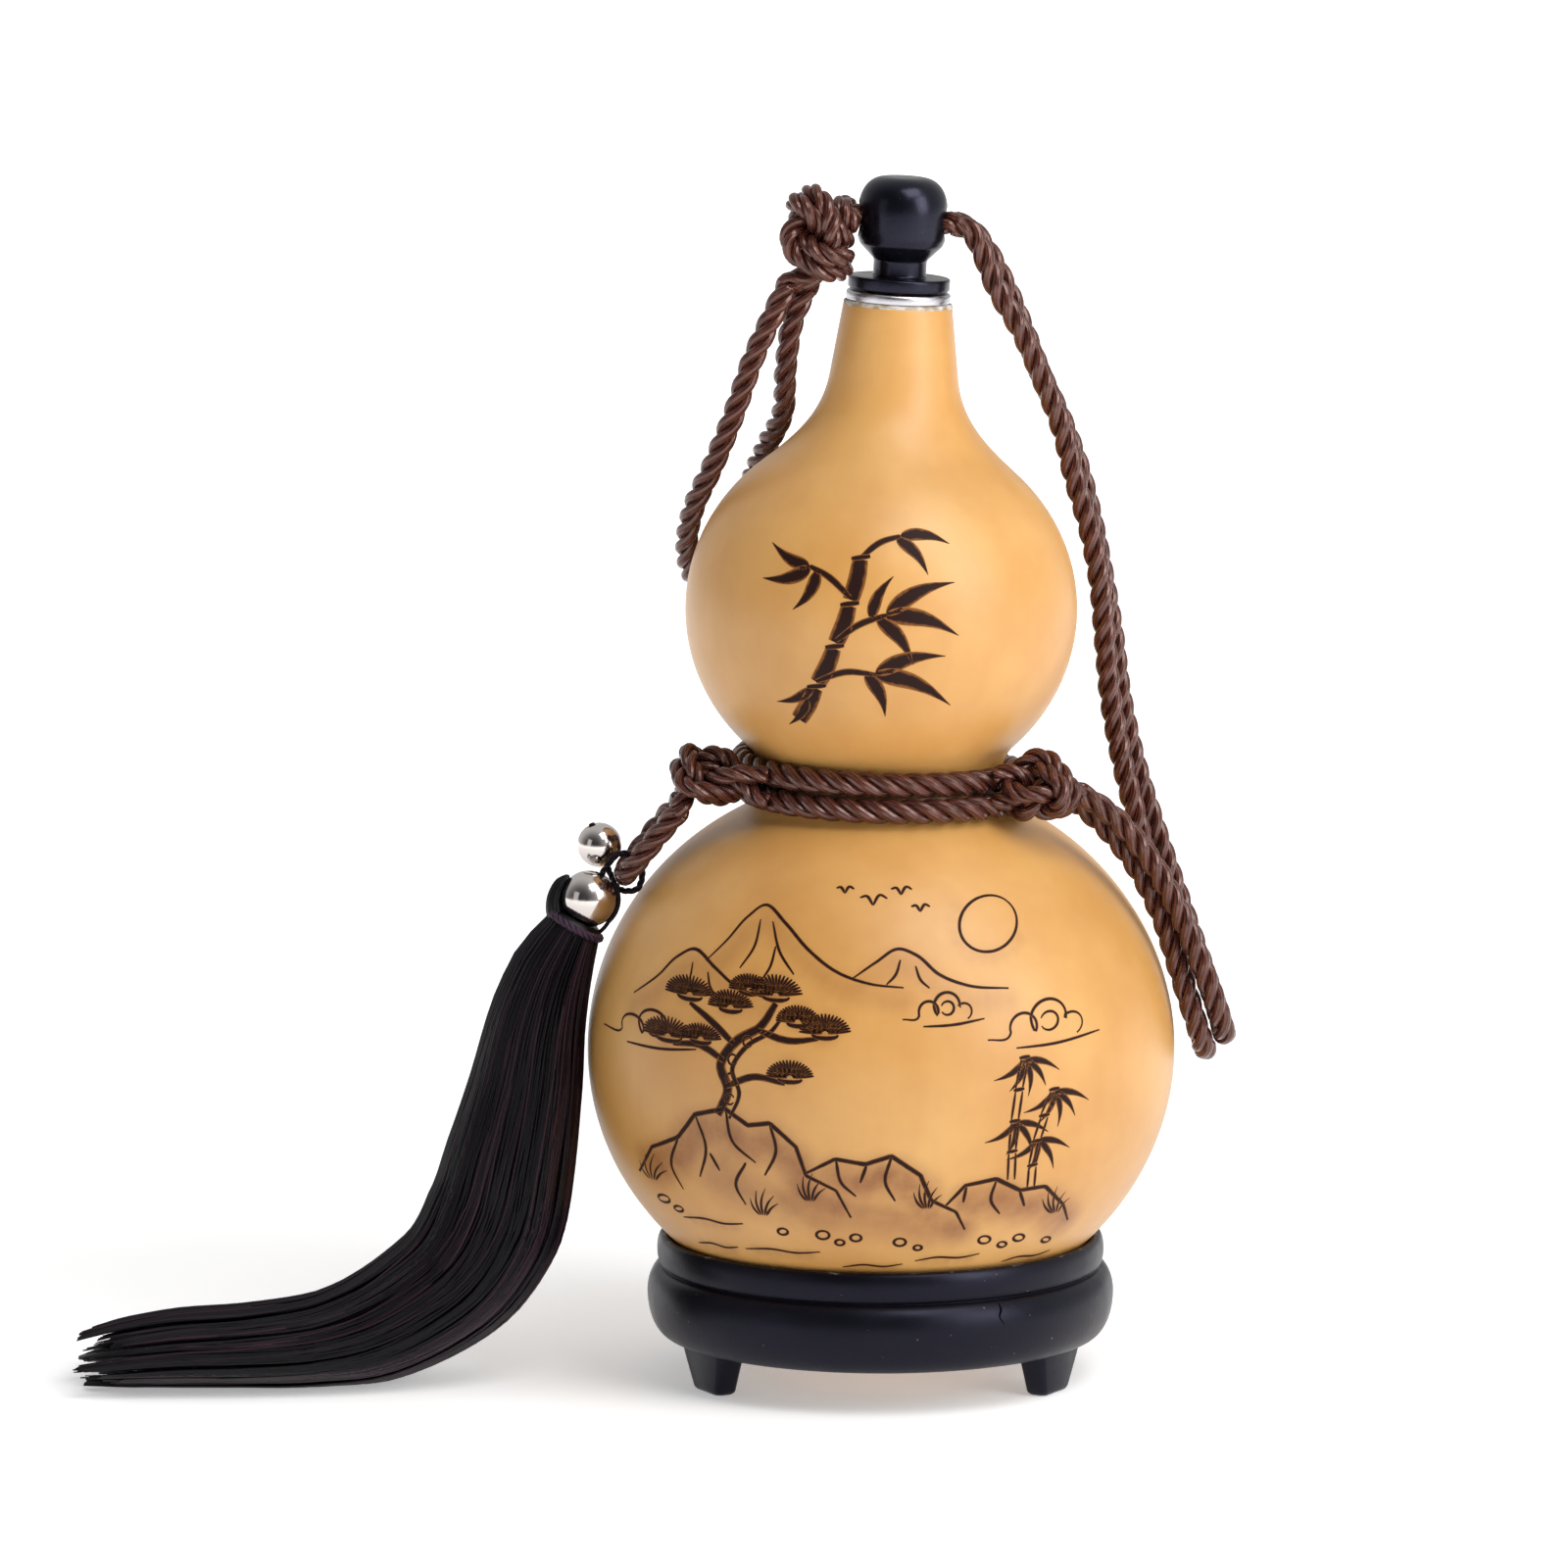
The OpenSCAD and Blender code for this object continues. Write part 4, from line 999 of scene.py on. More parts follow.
# %% Profile of the stopper
ferrule_top, flange_low = neck_top + 2.4, neck_top + 2.7
flange_r, flange_h, stem_r, stem_h, cone_h = 10.35, 2.6, 5.4, 3.4, 3.1
knob_low_r, knob_r, knob_rise, knob_dome_h, knob_flat_r, knob_shoulder = 8.5, 9.15, 5.5, 8.2, 3, 0.8
spigot_r, cork_len, cord_hole_r = 3, 13, 3.6
flange_top = flange_low + flange_h
knob_low = flange_top + stem_h + cone_h
knob_wide = knob_low + knob_rise
cord_hole_at = knob_wide - 0.8

edges = soften([
    (0, flange_low - cork_len), (spigot_r, flange_low - cork_len), (spigot_r, flange_low),
    (flange_r, flange_low), (flange_r, flange_top), (stem_r, flange_top), (stem_r, knob_low - cone_h),
    (knob_low_r, knob_low), (knob_low_r + 0.3, knob_low + 1.2)], 0.55)[:-1]
belly = np.radians(np.linspace(-50, 0, 14))
dome = np.radians(np.linspace(2, 90, 45))
stopper_line = np.vstack([
    edges,
    np.stack([knob_low_r + (knob_r - knob_low_r) * np.cos(belly), knob_wide + knob_rise * np.sin(belly)], -1),
    np.stack([knob_flat_r + (knob_r - knob_flat_r) * np.cos(dome) ** knob_shoulder,
              knob_wide + knob_dome_h * np.sin(dome) ** knob_shoulder], -1),
    [(1.5, knob_wide + knob_dome_h + 0.05), (0, knob_wide + knob_dome_h + 0.06)]])
print(f"Outside the neck the stopper is {stopper_line[-1, 1] - flange_low:.1f} mm long")

# %% Turn the stopper and drill it
points, faces = turn(stopper_line, 192)
stopper = make_piece("stopper_turned", on_neck(points), faces, stopper_lacquer, None)
drill_reach = 14.0
drill_line = np.array([(-drill_reach, 0, cord_hole_at), (drill_reach, 0, cord_hole_at)])
drill_side, drill_up = np.tile((0.0, 1, 0), (2, 1)), np.tile((0.0, 0, 1), (2, 1))
points, faces, _ = sweep(drill_line, drill_side, drill_up, cord_hole_r, cord_hole_r, 64, np.zeros(2))
drill = make_piece("drill", on_neck(points), faces, stopper_lacquer, None)
hole = stopper.modifiers.new("cord_hole", "BOOLEAN")
hole.operation, hole.object, hole.solver = "DIFFERENCE", drill, "EXACT"
bpy.context.view_layer.update()
drilled = bpy.data.meshes.new_from_object(stopper.evaluated_get(bpy.context.evaluated_depsgraph_get()))
stopper.modifiers.clear()
stopper.data = drilled
bpy.data.objects.remove(drill)
drilled.set_sharp_from_angle(angle=math.radians(40))
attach(stopper, "stopper")
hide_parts("stopper_knob")
print(f"Drilled stopper: {len(drilled.polygons)} faces")

# %% [markdown]
# ### Stand
#
# The ring has a bulging moulding below, a groove, and a narrower band above whose inner side carries
# the gourd. Three arcs make its outer profile. The wood has split a little at the front right, under
# the groove, which is a strip in a black that reflects nearly nothing.

# %% Stand ring
stand_h, rim_inner_r, rim_w, rim_h, groove_depth = 29.5, 43.8, 2, 6.4, 1.1
moulding_r, moulding_up, ring_low_r, ring_hole_r, ring_step_z, foot_h = 47.8, 5.6, 43.6, 36, 20, 8.9
groove_r, groove_z = rim_inner_r + rim_w - groove_depth, stand_h - rim_h
wide_z = groove_z - moulding_up
lower, upper, band = (np.radians(np.linspace(*span)) for span in ((-82, 0, 26), (3, 84, 24), (-78, 84, 30)))
ring_line = np.vstack([
    soften([(ring_hole_r, ring_step_z), (ring_hole_r, foot_h), (ring_low_r, foot_h),
            (ring_low_r + 0.6, foot_h + 0.1)], 0.5)[1:-1],
    np.stack([ring_low_r + (moulding_r - ring_low_r) * np.cos(lower),
              wide_z + (wide_z - foot_h) * np.sin(lower)], -1),
    np.stack([groove_r + (moulding_r - groove_r) * np.cos(upper), wide_z + moulding_up * np.sin(upper)], -1),
    np.stack([groove_r + groove_depth * np.cos(band), groove_z + rim_h / 2 * (1 + np.sin(band))], -1),
    soften([(groove_r, stand_h), (rim_inner_r, stand_h), (ring_hole_r + 1, ring_step_z),
            (ring_hole_r, ring_step_z - 2)], 0.3)[:-1]])
points, faces = turned_ring(ring_line, 300)
ring = make_piece("stand_ring_turned", points, faces, stand_lacquer, "stand")
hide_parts("stand_ring")

# %% Split in the ring
ring_tree = BVHTree.FromPolygons(points.tolist(), faces)
split = np.array([(23.4, 0, 22.6), (23.9, 0, 21.2), (23.6, 0, 20.2), (24.6, 0, 18.4)])
split = evenly(smooth_path(split, 0.3), 0.3)
split = np.array([ring_tree.ray_cast(Vector((x, -150, z)), Vector((0, 1, 0)))[0] for x, _, z in split])
split_w = np.interp(np.arange(len(split)), [0, 4, len(split) - 1], [0.15, 0.55, 0.12])
open_wood, tree, shader = new_material("dark_split_in_wood", {
    "Base Color": linear("#020203"), "Roughness": 0.95, "Specular IOR Level": 0.05})
points, _, faces = strips([(split, split_w)], ring_tree, 0.02)
make_piece("stand_split", points, faces, open_wood, "stand")

# %% [markdown]
# Each foot is a small carved block that tapers downwards, with its outer face on the ring's curve. It is
# built as rings of points from the sole up, where the sole's edge is rounded off too.

# %% Feet
foot_in_r, foot_out_r, foot_taper, foot_top_w, foot_sole_w = 37, 43.2, 1.6, 16, 10
foot_corner_r, foot_sole_round = 1.3, 0.9


def foot(name, degrees, node):
    """A foot: rounded oblongs stacked from sole to ring. Its front and back follow the ring's curve."""
    corner = np.radians(np.arange(0, 360, 15))
    quarter = [np.sign(np.cos(corner + 0.01)), np.sign(np.sin(corner + 0.01))]
    rings = []
    for z in [0, 0.12, 0.4, 0.9, 2, 4, 6, 8, foot_h + 0.6]:
        share = min(z / foot_h, 1)
        inset = foot_sole_round * (1 - math.sqrt(max(0, 1 - (1 - min(z / foot_sole_round, 1))**2)))
        out_r = foot_out_r - foot_taper * (1 - share) - inset
        in_r = foot_in_r + inset
        half_w = (foot_sole_w + (foot_top_w - foot_sole_w) * share) / 2 - inset
        half_d = (out_r - in_r) / 2
        radial = (out_r + in_r) / 2 + quarter[0] * (half_d - foot_corner_r) + foot_corner_r * np.cos(corner)
        sideways = quarter[1] * (half_w - foot_corner_r) + foot_corner_r * np.sin(corner)
        turned = math.radians(degrees) + sideways / radial
        rings.append(np.stack([radial * np.cos(turned), radial * np.sin(turned), z + 0 * corner], -1))
    points = np.vstack(rings)
    n = len(corner)
    faces = tube_faces(len(rings), n) + [list(range(n))[::-1], list(range(len(points) - n, len(points)))]
    piece = make_piece(name, points, faces, stand_lacquer, "stand")
    piece.data.set_sharp_from_angle(angle=math.radians(50))
    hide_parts(node)


for side, degrees in (("left", -150), ("right", -30), ("back", 90)):
    foot(f"foot_{side}_carved", degrees, f"stand_foot_{side}")

# %% [markdown]
# ### Ferrule and glue
#
# The ferrule is a thin aluminium ring with a sleeve in the neck. Brushing leaves fine lines round it,
# which stretch its highlight: a noise that is squeezed along the neck varies the roughness. Under its
# edge the glue that holds it has oozed out in an uneven bead and dried pale and cloudy.

# %% Ferrule
bright_metal, tree, shader = new_material("brushed_aluminium_ferrule", {
    "Base Color": linear("#C4C2C6"), "Metallic": 1.0, "Roughness": 0.3, "Anisotropic": 0.5})
place = add_node(tree, "ShaderNodeTexCoord")
flat = add_node(tree, "ShaderNodeMapping", {"Scale": (1, 1, 14)}, {"Vector": (place, "Object")})
brushing = add_node(tree, "ShaderNodeTexNoise", {"Scale": 400.0, "Detail": 3.0}, {"Vector": (flat, "Vector")})
brushed = add_node(tree, "ShaderNodeMapRange", {1: 0.3, 2: 0.7, 3: 0.2, 4: 0.42}, {0: (brushing, "Fac")})
tree.links.new(brushed.outputs[0], shader.inputs["Roughness"])

glue_gap, sleeve_wall = 0.05, 0.85
ferrule_r, sleeve_r, sleeve_len = 10.6, neck_bore_r - glue_gap, 14
mouth_r = neck_bore_r - glue_gap - sleeve_wall
ferrule_line = soften([
    (mouth_r, neck_top - 5), (mouth_r, neck_top - sleeve_len), (sleeve_r, neck_top - sleeve_len),
    (sleeve_r, neck_top), (ferrule_r, neck_top), (ferrule_r, ferrule_top - 0.1), (mouth_r, ferrule_top),
    (mouth_r, neck_top - 4.9)], 0.75)[1:-1]
points, faces = turned_ring(ferrule_line, 192)
ferrule = make_piece("ferrule_spun", on_neck(points), faces, bright_metal, "bottle")
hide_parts("mouth_ferrule")

# %% Glue under the ferrule
glue_grey, tree, shader = new_material("dried_glue", {"Roughness": 0.6})
place = add_node(tree, "ShaderNodeTexCoord")
lumps = add_node(tree, "ShaderNodeTexNoise", {"Scale": 500.0, "Detail": 4.0}, {"Vector": (place, "Object")})
glue_tone = add_node(tree, "ShaderNodeValToRGB", {"stops": ((0.4, "#9A8466"), (0.6, "#C9C6C2"))},
                     {"Fac": (lumps, "Fac")})
tree.links.new(glue_tone.outputs["Color"], shader.inputs["Base Color"])

glue_r, glue_sides = 10.62, 12
a = np.radians(np.arange(0, 360, 1.5))
ragged = sum(np.sin(k * a + 1.7 * k * k) / k**0.5 for k in (3, 7, 11, 17, 29, 41)) / 2.4
glue_line = np.stack([glue_r * np.cos(a), glue_r * np.sin(a), neck_top - 0.35 - 0.12 * ragged], -1)
glue_out = glue_line * (1, 1, 0) / glue_r
b = 2 * math.pi * np.arange(glue_sides) / glue_sides
thick = (0.62 + 0.14 * ragged)[:, None]
points = (glue_line[:, None] + (thick * np.cos(b))[..., None] * 0.75 * glue_out[:, None]
          + (thick * np.sin(b))[..., None] * np.array([0, 0, 1.0]))
faces = inside_out(closed_faces(len(a), glue_sides))
make_piece("glue_ring", on_neck(points.reshape(-1, 3)), faces, glue_grey, "bottle")

# %% [markdown]
# ### Cork
#
# The cork sleeve round the stopper's spigot only shows when the stopper is pulled. The CAD node stays
# and gets the material of natural cork: a warm brown with darker bark patches of 4 mm and open cells of
# 1 mm, dull all over.

# %% Cork
cork_material, tree, shader = new_material("natural_cork", {"Roughness": 0.85})
place = add_node(tree, "ShaderNodeTexCoord")
cells = add_node(tree, "ShaderNodeTexVoronoi", {"Scale": 900.0}, {"Vector": (place, "Object")})
bark = add_node(tree, "ShaderNodeTexNoise", {"Scale": 260.0, "Detail": 4.0}, {"Vector": (place, "Object")})
cork_tone = add_node(tree, "ShaderNodeValToRGB", {"stops": ((0.36, "#6E4526"), (0.5, "#C29468"))},
                     {"Fac": (bark, "Fac")})
cork_bump = add_node(tree, "ShaderNodeBump", {"Strength": 0.5, "Distance": 0.15 * MM},
                     {"Height": (cells, "Distance")})
tree.links.new(cork_tone.outputs["Color"], shader.inputs["Base Color"])
tree.links.new(cork_bump.outputs["Normal"], shader.inputs["Normal"])
cork = bpy.data.objects["stopper_cork"]
cork.data.materials.clear()
cork.data.materials.append(cork_material)

# %% [markdown]
# ## The cord round the waist
#
# Two turns of the same cord lie in the hollow between the bulbs. They are one unbroken piece that
# climbs from the lower turn to the upper one on the way round, so it follows a helix whose points roll
# round the middle of the hollow at an even distance. This cord is drawn 5.2 mm thick instead of 4.8,
# because a cord that is pulled tight over a curve flattens, so its two turns touch.

# %% Waist winding
winding_start, winding_turns = 100, 2
winding_low, winding_high = 44, -64
hollow_r, hollow_z, winding_out = 33.1, 124.3, 5.85
winding_d = 5.2


def winding_point(u):
    """The winding's middle line in mm. u goes from 0 at its start behind the waist to 1 at its end."""
    across = np.radians(winding_low + (winding_high - winding_low) * u)
    turned = np.radians(winding_start + 360 * winding_turns * u)
    r = hollow_r - winding_out * np.cos(across)
    return np.stack([r * np.cos(turned), r * np.sin(turned), hollow_z + winding_out * np.sin(across)], -1)


winding_path = evenly(winding_point(np.linspace(0, 1, 1200)), rope_step)
points, faces, uvs = twisted(winding_path, (0, 0, 1), d=winding_d, phase=1.2)
winding = make_piece("waist_winding_rope", points, faces, cord_rayon, "bottle", uvs)
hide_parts("waist_winding")
print(f"Winding of {path_length(winding_path):.0f} mm")

# %% [markdown]
# ## Knots
#
# The knots hold the whole harness together, so they are tied for real: each is an overhand knot in a
# pair of cords. A knot drawn point by point always cuts through itself somewhere. Here a loose knot, a
# curve known as the long trefoil, is pulled tight in many small steps. Each step evens the cord out,
# which shortens it, and then pushes points apart where two stretches come closer than a cord's
# thickness. So nothing can pass through anything, and the pair settles as a real knot does.

# %% Pull a knot tight
def tighten(strands, gap, rounds, obstacles=(), spacing=1.2):
    """Pulls loose strands tight without letting them pass through each other. Their ends stay put.
    gap is the least distance between two middle lines, and spacing the distance of their points."""
    pull, held, push_share, furthest_move = 0.3, 2, 0.6, 0.6
    for count in range(rounds):
        if count % 5 == 0:
            strands = [evenly(p, spacing) for p in strands]
            counts = [len(p) for p in strands]
            starts = np.concatenate([[0], np.cumsum(counts)])
            owner = np.repeat(np.arange(len(strands)), counts)
            place = np.concatenate([np.arange(c) for c in counts])
            p = np.vstack(strands)
            free = np.ones(len(p), bool)
            for a, b in zip(starts[:-1], starts[1:]):
                free[a:a + held] = free[b - held:b] = False
            far = np.linalg.norm(p[:, None] - p, axis=2)
            apart = (owner[:, None] != owner) | (np.abs(place[:, None] - place) * spacing > 1.5 * gap)
            i, j = np.nonzero(np.triu((far < gap + 3) & apart))
        even = (np.roll(p, 1, 0) + np.roll(p, -1, 0)) / 2
        p = np.where(free[:, None], p + pull * (even - p), p)
        for _ in range(5):
            d = p[i] - p[j]
            near = np.linalg.norm(d, axis=1)
            overlap = np.maximum(gap - near, 0)
            push = d * (overlap**2 / np.maximum(near, 0.01))[:, None]
            total = np.bincount(i, overlap, len(p)) + np.bincount(j, overlap, len(p))
            move = np.stack([np.bincount(i, push[:, k], len(p)) - np.bincount(j, push[:, k], len(p))
                             for k in range(3)], -1) * push_share / np.maximum(total, 1e-6)[:, None]
            for keep_off in obstacles:
                move += keep_off(p)
            size = np.linalg.norm(move, axis=1, keepdims=True)
            p = p + move * np.minimum(1, furthest_move / np.maximum(size, 1e-6)) * free[:, None]
        strands = [p[a:b] for a, b in zip(starts[:-1], starts[1:])]
    return strands


# %% The tight knot that all four share
t = np.linspace(-2.2, 2.2, 120)
loose_size = 5.4
closing = 1 / (1 + 30 * np.maximum(np.abs(t) - 1.95, 0))
trefoil = loose_size * np.stack(
    [(t**3 - 3 * t) * closing, (t**5 - 10 * t) / 4, (t**4 - 4 * t**2 + 2) * closing], -1)
loose_line = evenly(np.vstack([(0, -44, 0), trefoil, (0, 44, 0)]), 1)
pair_side, _ = frames_along(loose_line, (1, 0, 0.3))
tight_gap = 3.4
tight_pair = tighten([loose_line + side * tight_gap / 2 * pair_side for side in (1, -1)], tight_gap, 700)
print("Tight knot, mm of cord in each strand:", [round(path_length(p)) for p in tight_pair])


# %% [markdown]
# A knot lies on the gourd, against the knob or beside the winding, and presses into none of them. So
# while it settles, its points are also pushed out of these: each function here says how far and where.

# %% What a knot keeps clear of
def off_gourd(p):
    """Keeps a cord's middle line outside the gourd."""
    r = np.hypot(p[:, 0], p[:, 1])
    surface = np.interp(p[:, 2], outer[:, 1], outer[:, 0]) + 2.0
    return np.maximum(surface - r, 0)[:, None] * p * (1, 1, 0) / r[:, None]


def off_knob(p):
    """Keeps a cord outside the leaning knob of the stopper."""
    axis = on_neck(np.array([(0, 0, 1.0)]))[0] - on_neck(np.zeros((1, 3)))[0]
    along = (p - (0, 0, upper_z)) @ axis
    d = p - (0, 0, upper_z) - along[:, None] * axis
    r = np.linalg.norm(d, axis=1)
    surface = np.interp(along, [67, 68.5, 71.4, 74.5, 77, 85, 88.2, 90],
                        [10.4, 5.4, 5.6, 8.7, 9.2, 8.8, 4, -3])
    return np.maximum(surface + 1.9 - r, 0)[:, None] * d / np.maximum(r, 0.01)[:, None]


def off_cord(path, gap):
    """Keeps a cord away from another one that stays where it is."""
    def keep_off(p):
        d = p[:, None] - path[None, ::2]
        near = np.linalg.norm(d, axis=2)
        k = near.argmin(1)
        line = np.arange(len(p))
        overlap = np.maximum(gap - near[line, k], 0)
        return overlap[:, None] * d[line, k] / np.maximum(near[line, k], 0.01)[:, None]
    return keep_off


# %% [markdown]
# Each knot starts from the middle of the tight one, turned to its place. Its four ends are led to the
# cords that it ties, crossed or straight, whichever is shorter, and the whole settles once more. Then
# plies are laid along both strands, and their twist is timed so that they meet the plies of the next
# cord where the two join.

# %% Place a knot and run its ends to the cords
knot_core, settling_rounds = 9.0, 60


def place_knot(starts, ends, middle, along, roll, gap, obstacles):
    """The strands of a knot round middle. starts and ends are each strand's own end points. The knot's
    own length lies along, and roll turns it about that."""
    along = np.asarray(along, float) / np.linalg.norm(along)
    u = np.cross(along, (0.0, 0, 1) if abs(along[2]) < 0.9 else (1.0, 0, 0))
    u /= np.linalg.norm(u)
    v = np.cross(u, along)
    a = math.radians(roll)
    axes = np.array([math.cos(a) * u + math.sin(a) * v, along, math.cos(a) * v - math.sin(a) * u])
    share = gap / tight_gap
    strands = [p[np.abs(p[:, 1]) < knot_core] * share @ axes + middle for p in tight_pair]
    straight = sum(np.linalg.norm(s[0] - starts[k][-1]) + np.linalg.norm(s[-1] - ends[k][0])
                   for k, s in enumerate(strands))
    crossed = sum(np.linalg.norm(s[0] - starts[1 - k][-1]) + np.linalg.norm(s[-1] - ends[1 - k][0])
                  for k, s in enumerate(strands))
    if crossed < straight:
        strands = strands[::-1]
    loose = [np.vstack([starts[k], s, ends[k]]) for k, s in enumerate(strands)]
    return tighten(loose, gap, settling_rounds, obstacles, spacing=1.1)


# %% Plies that meet those of the next cord
full_d = 1.01 * cord_d


def matching_phase(p, first, lay, outward):
    """The twist's starting phase with which the first ply faces outward at the path's end."""
    side, up = frames_along(p, first)
    return math.atan2(outward @ up[-1], outward @ side[-1]) - 2 * math.pi * path_length(p) / lay


def first_ply(path, phase, at_end, first=(0, 1, 0)):
    """Which way the first ply of a cord faces at one of its ends."""
    side, up = frames_along(path, first)
    turned = phase + (2 * math.pi * path_length(path) / cord_lay if at_end else 0)
    k = -1 if at_end else 0
    return math.cos(turned) * side[k] + math.sin(turned) * up[k]


def stub(path, at_start, inside=2.2):
    """Two points on a cord's own line: one inside the knot and one 0.7 mm past the cord's end."""
    end, inner = (path[0], path[3]) if at_start else (path[-1], path[-4])
    outwards = (inner - end) / np.linalg.norm(inner - end)
    return np.array([end - inside * outwards, end + 0.7 * outwards])


# %% Tie a knot
def grow_to_cord(path, thick):
    """How thick a cord is along its path: pressed thin in a knot, and full at its far end."""
    run = np.linspace(0, path_length(path), len(path))
    return np.interp(run, [0, run[-1] - 5, run[-1] - 0.5], thick)


def tie(name, strands, gap, body, node, facing):
    """Twisted cords along a knot's strands. facing says how the plies stand where each strand ends."""
    first, lay, thick = (0.3, 0.5, 1), 12.5, 1.22 * gap
    parts = []
    for p, outward in zip(strands, facing):
        path = evenly(smooth_path(p[::2] if len(p) % 2 else np.vstack([p[::2], p[-1:]]), 0.5), 0.7)
        size = grow_to_cord(path, [thick, thick, full_d])
        parts.append(twisted(path, first, d=size, lay=lay,
                             phase=matching_phase(path, first, lay, outward)))
    points, faces, uvs = join(parts)
    knot = make_piece(name, points, faces, cord_rayon, body, uvs)
    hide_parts(node)
    print(f"{name}: {sum(path_length(p) for p in strands):.0f} mm of cord in a space of "
          f"{np.round(np.ptp(points, axis=0), 1).tolist()} mm")


# %% Knot beside the knob
knob_gap, waist_right_gap, waist_left_gap, waist_back_gap = 3.4, 3.05, 3.1, 3.1


def strap_facing(name, at_end):
    """Which way the first ply of a strap faces at one of its ends."""
    return first_ply(strap_paths[name], strap_phase[name], at_end)


hole_side = [on_neck(np.array([(-3.5, 1.8 * side, cord_hole_at), (-10.4, 1.9 * side, cord_hole_at + 0.2)]))
             for side in (-1, 1)]
knob_knot = place_knot(
    hole_side, [stub(strap_paths["strap_left_far"], True), stub(strap_paths["strap_left_near"], True)],
    np.array([-11, -5.2, 235.2]), (-0.22, -0.05, -1), 60, knob_gap, [off_knob])
tie("knob_knot_rope", knob_knot, knob_gap, "stopper", "knob_knot",
    [strap_facing("strap_left_far", False), strap_facing("strap_left_near", False)])

# %% Cords through the knob
parts = []
for side, name in ((-1, "strap_right_near"), (1, "strap_right_far")):
    through = on_neck(np.array([(-8.6, 1.8 * side, cord_hole_at + 0.1), (-4, 1.75 * side, cord_hole_at),
                                (4, 1.75 * side, cord_hole_at), (8.5, 1.9 * side, cord_hole_at - 0.1)]))
    path = evenly(smooth_path(np.vstack([through, stub(strap_paths[name], True, inside=0.8)]), 0.5), 0.7)
    phase = matching_phase(path, (0, 1, 0), cord_lay, strap_facing(name, False))
    parts.append(twisted(path, (0, 1, 0), d=grow_to_cord(path, [3.5, 3.6, full_d]), phase=phase))
points, faces, uvs = join(parts)
knob_cord = make_piece("knob_cord_rope", points, faces, cord_rayon, "stopper", uvs)
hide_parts("knob_cord")

# %% Knots at the waist
wound = off_cord(winding_path, 4.0)
right_knot = place_knot(
    np.array([[(22.5, -19.5, 127), (25.5, -19.8, 126.6)], [(22.5, -20, 121.5), (25.5, -20, 121.8)]]),
    [stub(strap_paths["strap_right_near"], False), stub(strap_paths["strap_right_far"], False)],
    np.array([31, -18.8, 125.4]), (1, 0.25, -0.25), 20, waist_right_gap, [off_gourd, wound])
tie("waist_knot_right_rope", right_knot, waist_right_gap, "bottle", "waist_knot_right",
    [strap_facing("strap_right_near", True), strap_facing("strap_right_far", True)])

tail_path = smooth_path(tail_route, rope_step)
left_knot = place_knot(
    np.array([[(-23, -19.5, 127), (-26.5, -18.6, 126.8)], [(-23, -20, 121.5), (-26.5, -19, 121.8)]]),
    [stub(tail_path, True), stub(tail_path, False)],
    np.array([-34.6, -13.4, 125.4]), (-0.75, 0.4, -0.35), 110, waist_left_gap, [off_gourd, wound])
tie("waist_knot_left_rope", left_knot, waist_left_gap, "bottle", "waist_knot_left",
    [first_ply(tail_path, 0, False, (1, 0, 0)), first_ply(tail_path, 0, True, (1, 0, 0))])

winding_ends = [stub(winding_path, True, inside=3)[::-1], stub(winding_path, False, inside=3)[::-1]]
back_knot = place_knot(
    winding_ends, [stub(strap_paths["strap_left_near"], False), stub(strap_paths["strap_left_far"], False)],
    np.array([-7.4, 37.2, 125.4]), (-0.5, 0.55, 0.7), 0, waist_back_gap, [off_gourd])
tie("waist_knot_back_rope", back_knot, waist_back_gap, "bottle", "waist_knot_back",
    [strap_facing("strap_left_near", True), strap_facing("strap_left_far", True)])

# %% [markdown]
# ## Beads and their string
#
# Two hollow chromed balls sit on a thin black string: it comes down through the small one, goes once
# round the tail's loop, and passes through the large one into the head of the tassel. A ball with a
# real drilled hole is an outline turned round the hole: down the outside, round the lip, up the bore.
# Chrome plating is a mirror with a faint warm tone, and it only looks like metal if it has something to
# mirror, so it relies on the softboxes and on the gourd beside it.

# %% Chromed beads
chrome, tree, shader = new_material("chromed_steel_beads", {
    "Base Color": linear("#D8D0CC"), "Metallic": 1.0, "Roughness": 0.13})
place = add_node(tree, "ShaderNodeTexCoord")
handling = add_node(tree, "ShaderNodeTexNoise", {"Scale": 700.0, "Detail": 3.0},
                    {"Vector": (place, "Object")})
smudges = add_node(tree, "ShaderNodeMapRange", {1: 0.35, 2: 0.75, 3: 0.1, 4: 0.24}, {0: (handling, "Fac")})
tree.links.new(smudges.outputs[0], shader.inputs["Roughness"])


def turned_bead(name, middle, r, tilt, node):
    """A ball with a bore along its tilted axis. The bore's lips are rounded by lip_r."""
    hole_r, lip_r = 1.3, 0.35
    top = math.degrees(math.acos((hole_r + lip_r) / r))
    a = np.radians(np.linspace(top, -top, 61))
    outside = np.stack([r * np.cos(a), r * np.sin(a)], -1)
    lip_z = outside[0, 1] - lip_r
    round_lip = np.radians(np.linspace(100, 180, 6))[:-1]
    upper_lip = np.stack([hole_r + lip_r + lip_r * np.cos(round_lip), lip_z + lip_r * np.sin(round_lip)], -1)
    bore = np.stack([np.full(9, hole_r), np.linspace(-lip_z, lip_z, 9)], -1)
    loop = np.vstack([outside, upper_lip * (1, -1), bore, upper_lip[::-1]])
    points, faces = turned_ring(loop, 96)
    bead = make_piece(name, tipped(points, tilt) + middle, inside_out(faces), chrome, node)
    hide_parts(node)


large_bead, head_tilt = np.array([-59.5, -6, 99.5]), 27.8
turned_bead("bead_small_turned", (-57.4, -0.4, 109.7), 4.6, -20, "bead_small")
turned_bead("bead_large_turned", large_bead, 5.8, head_tilt, "bead_large")
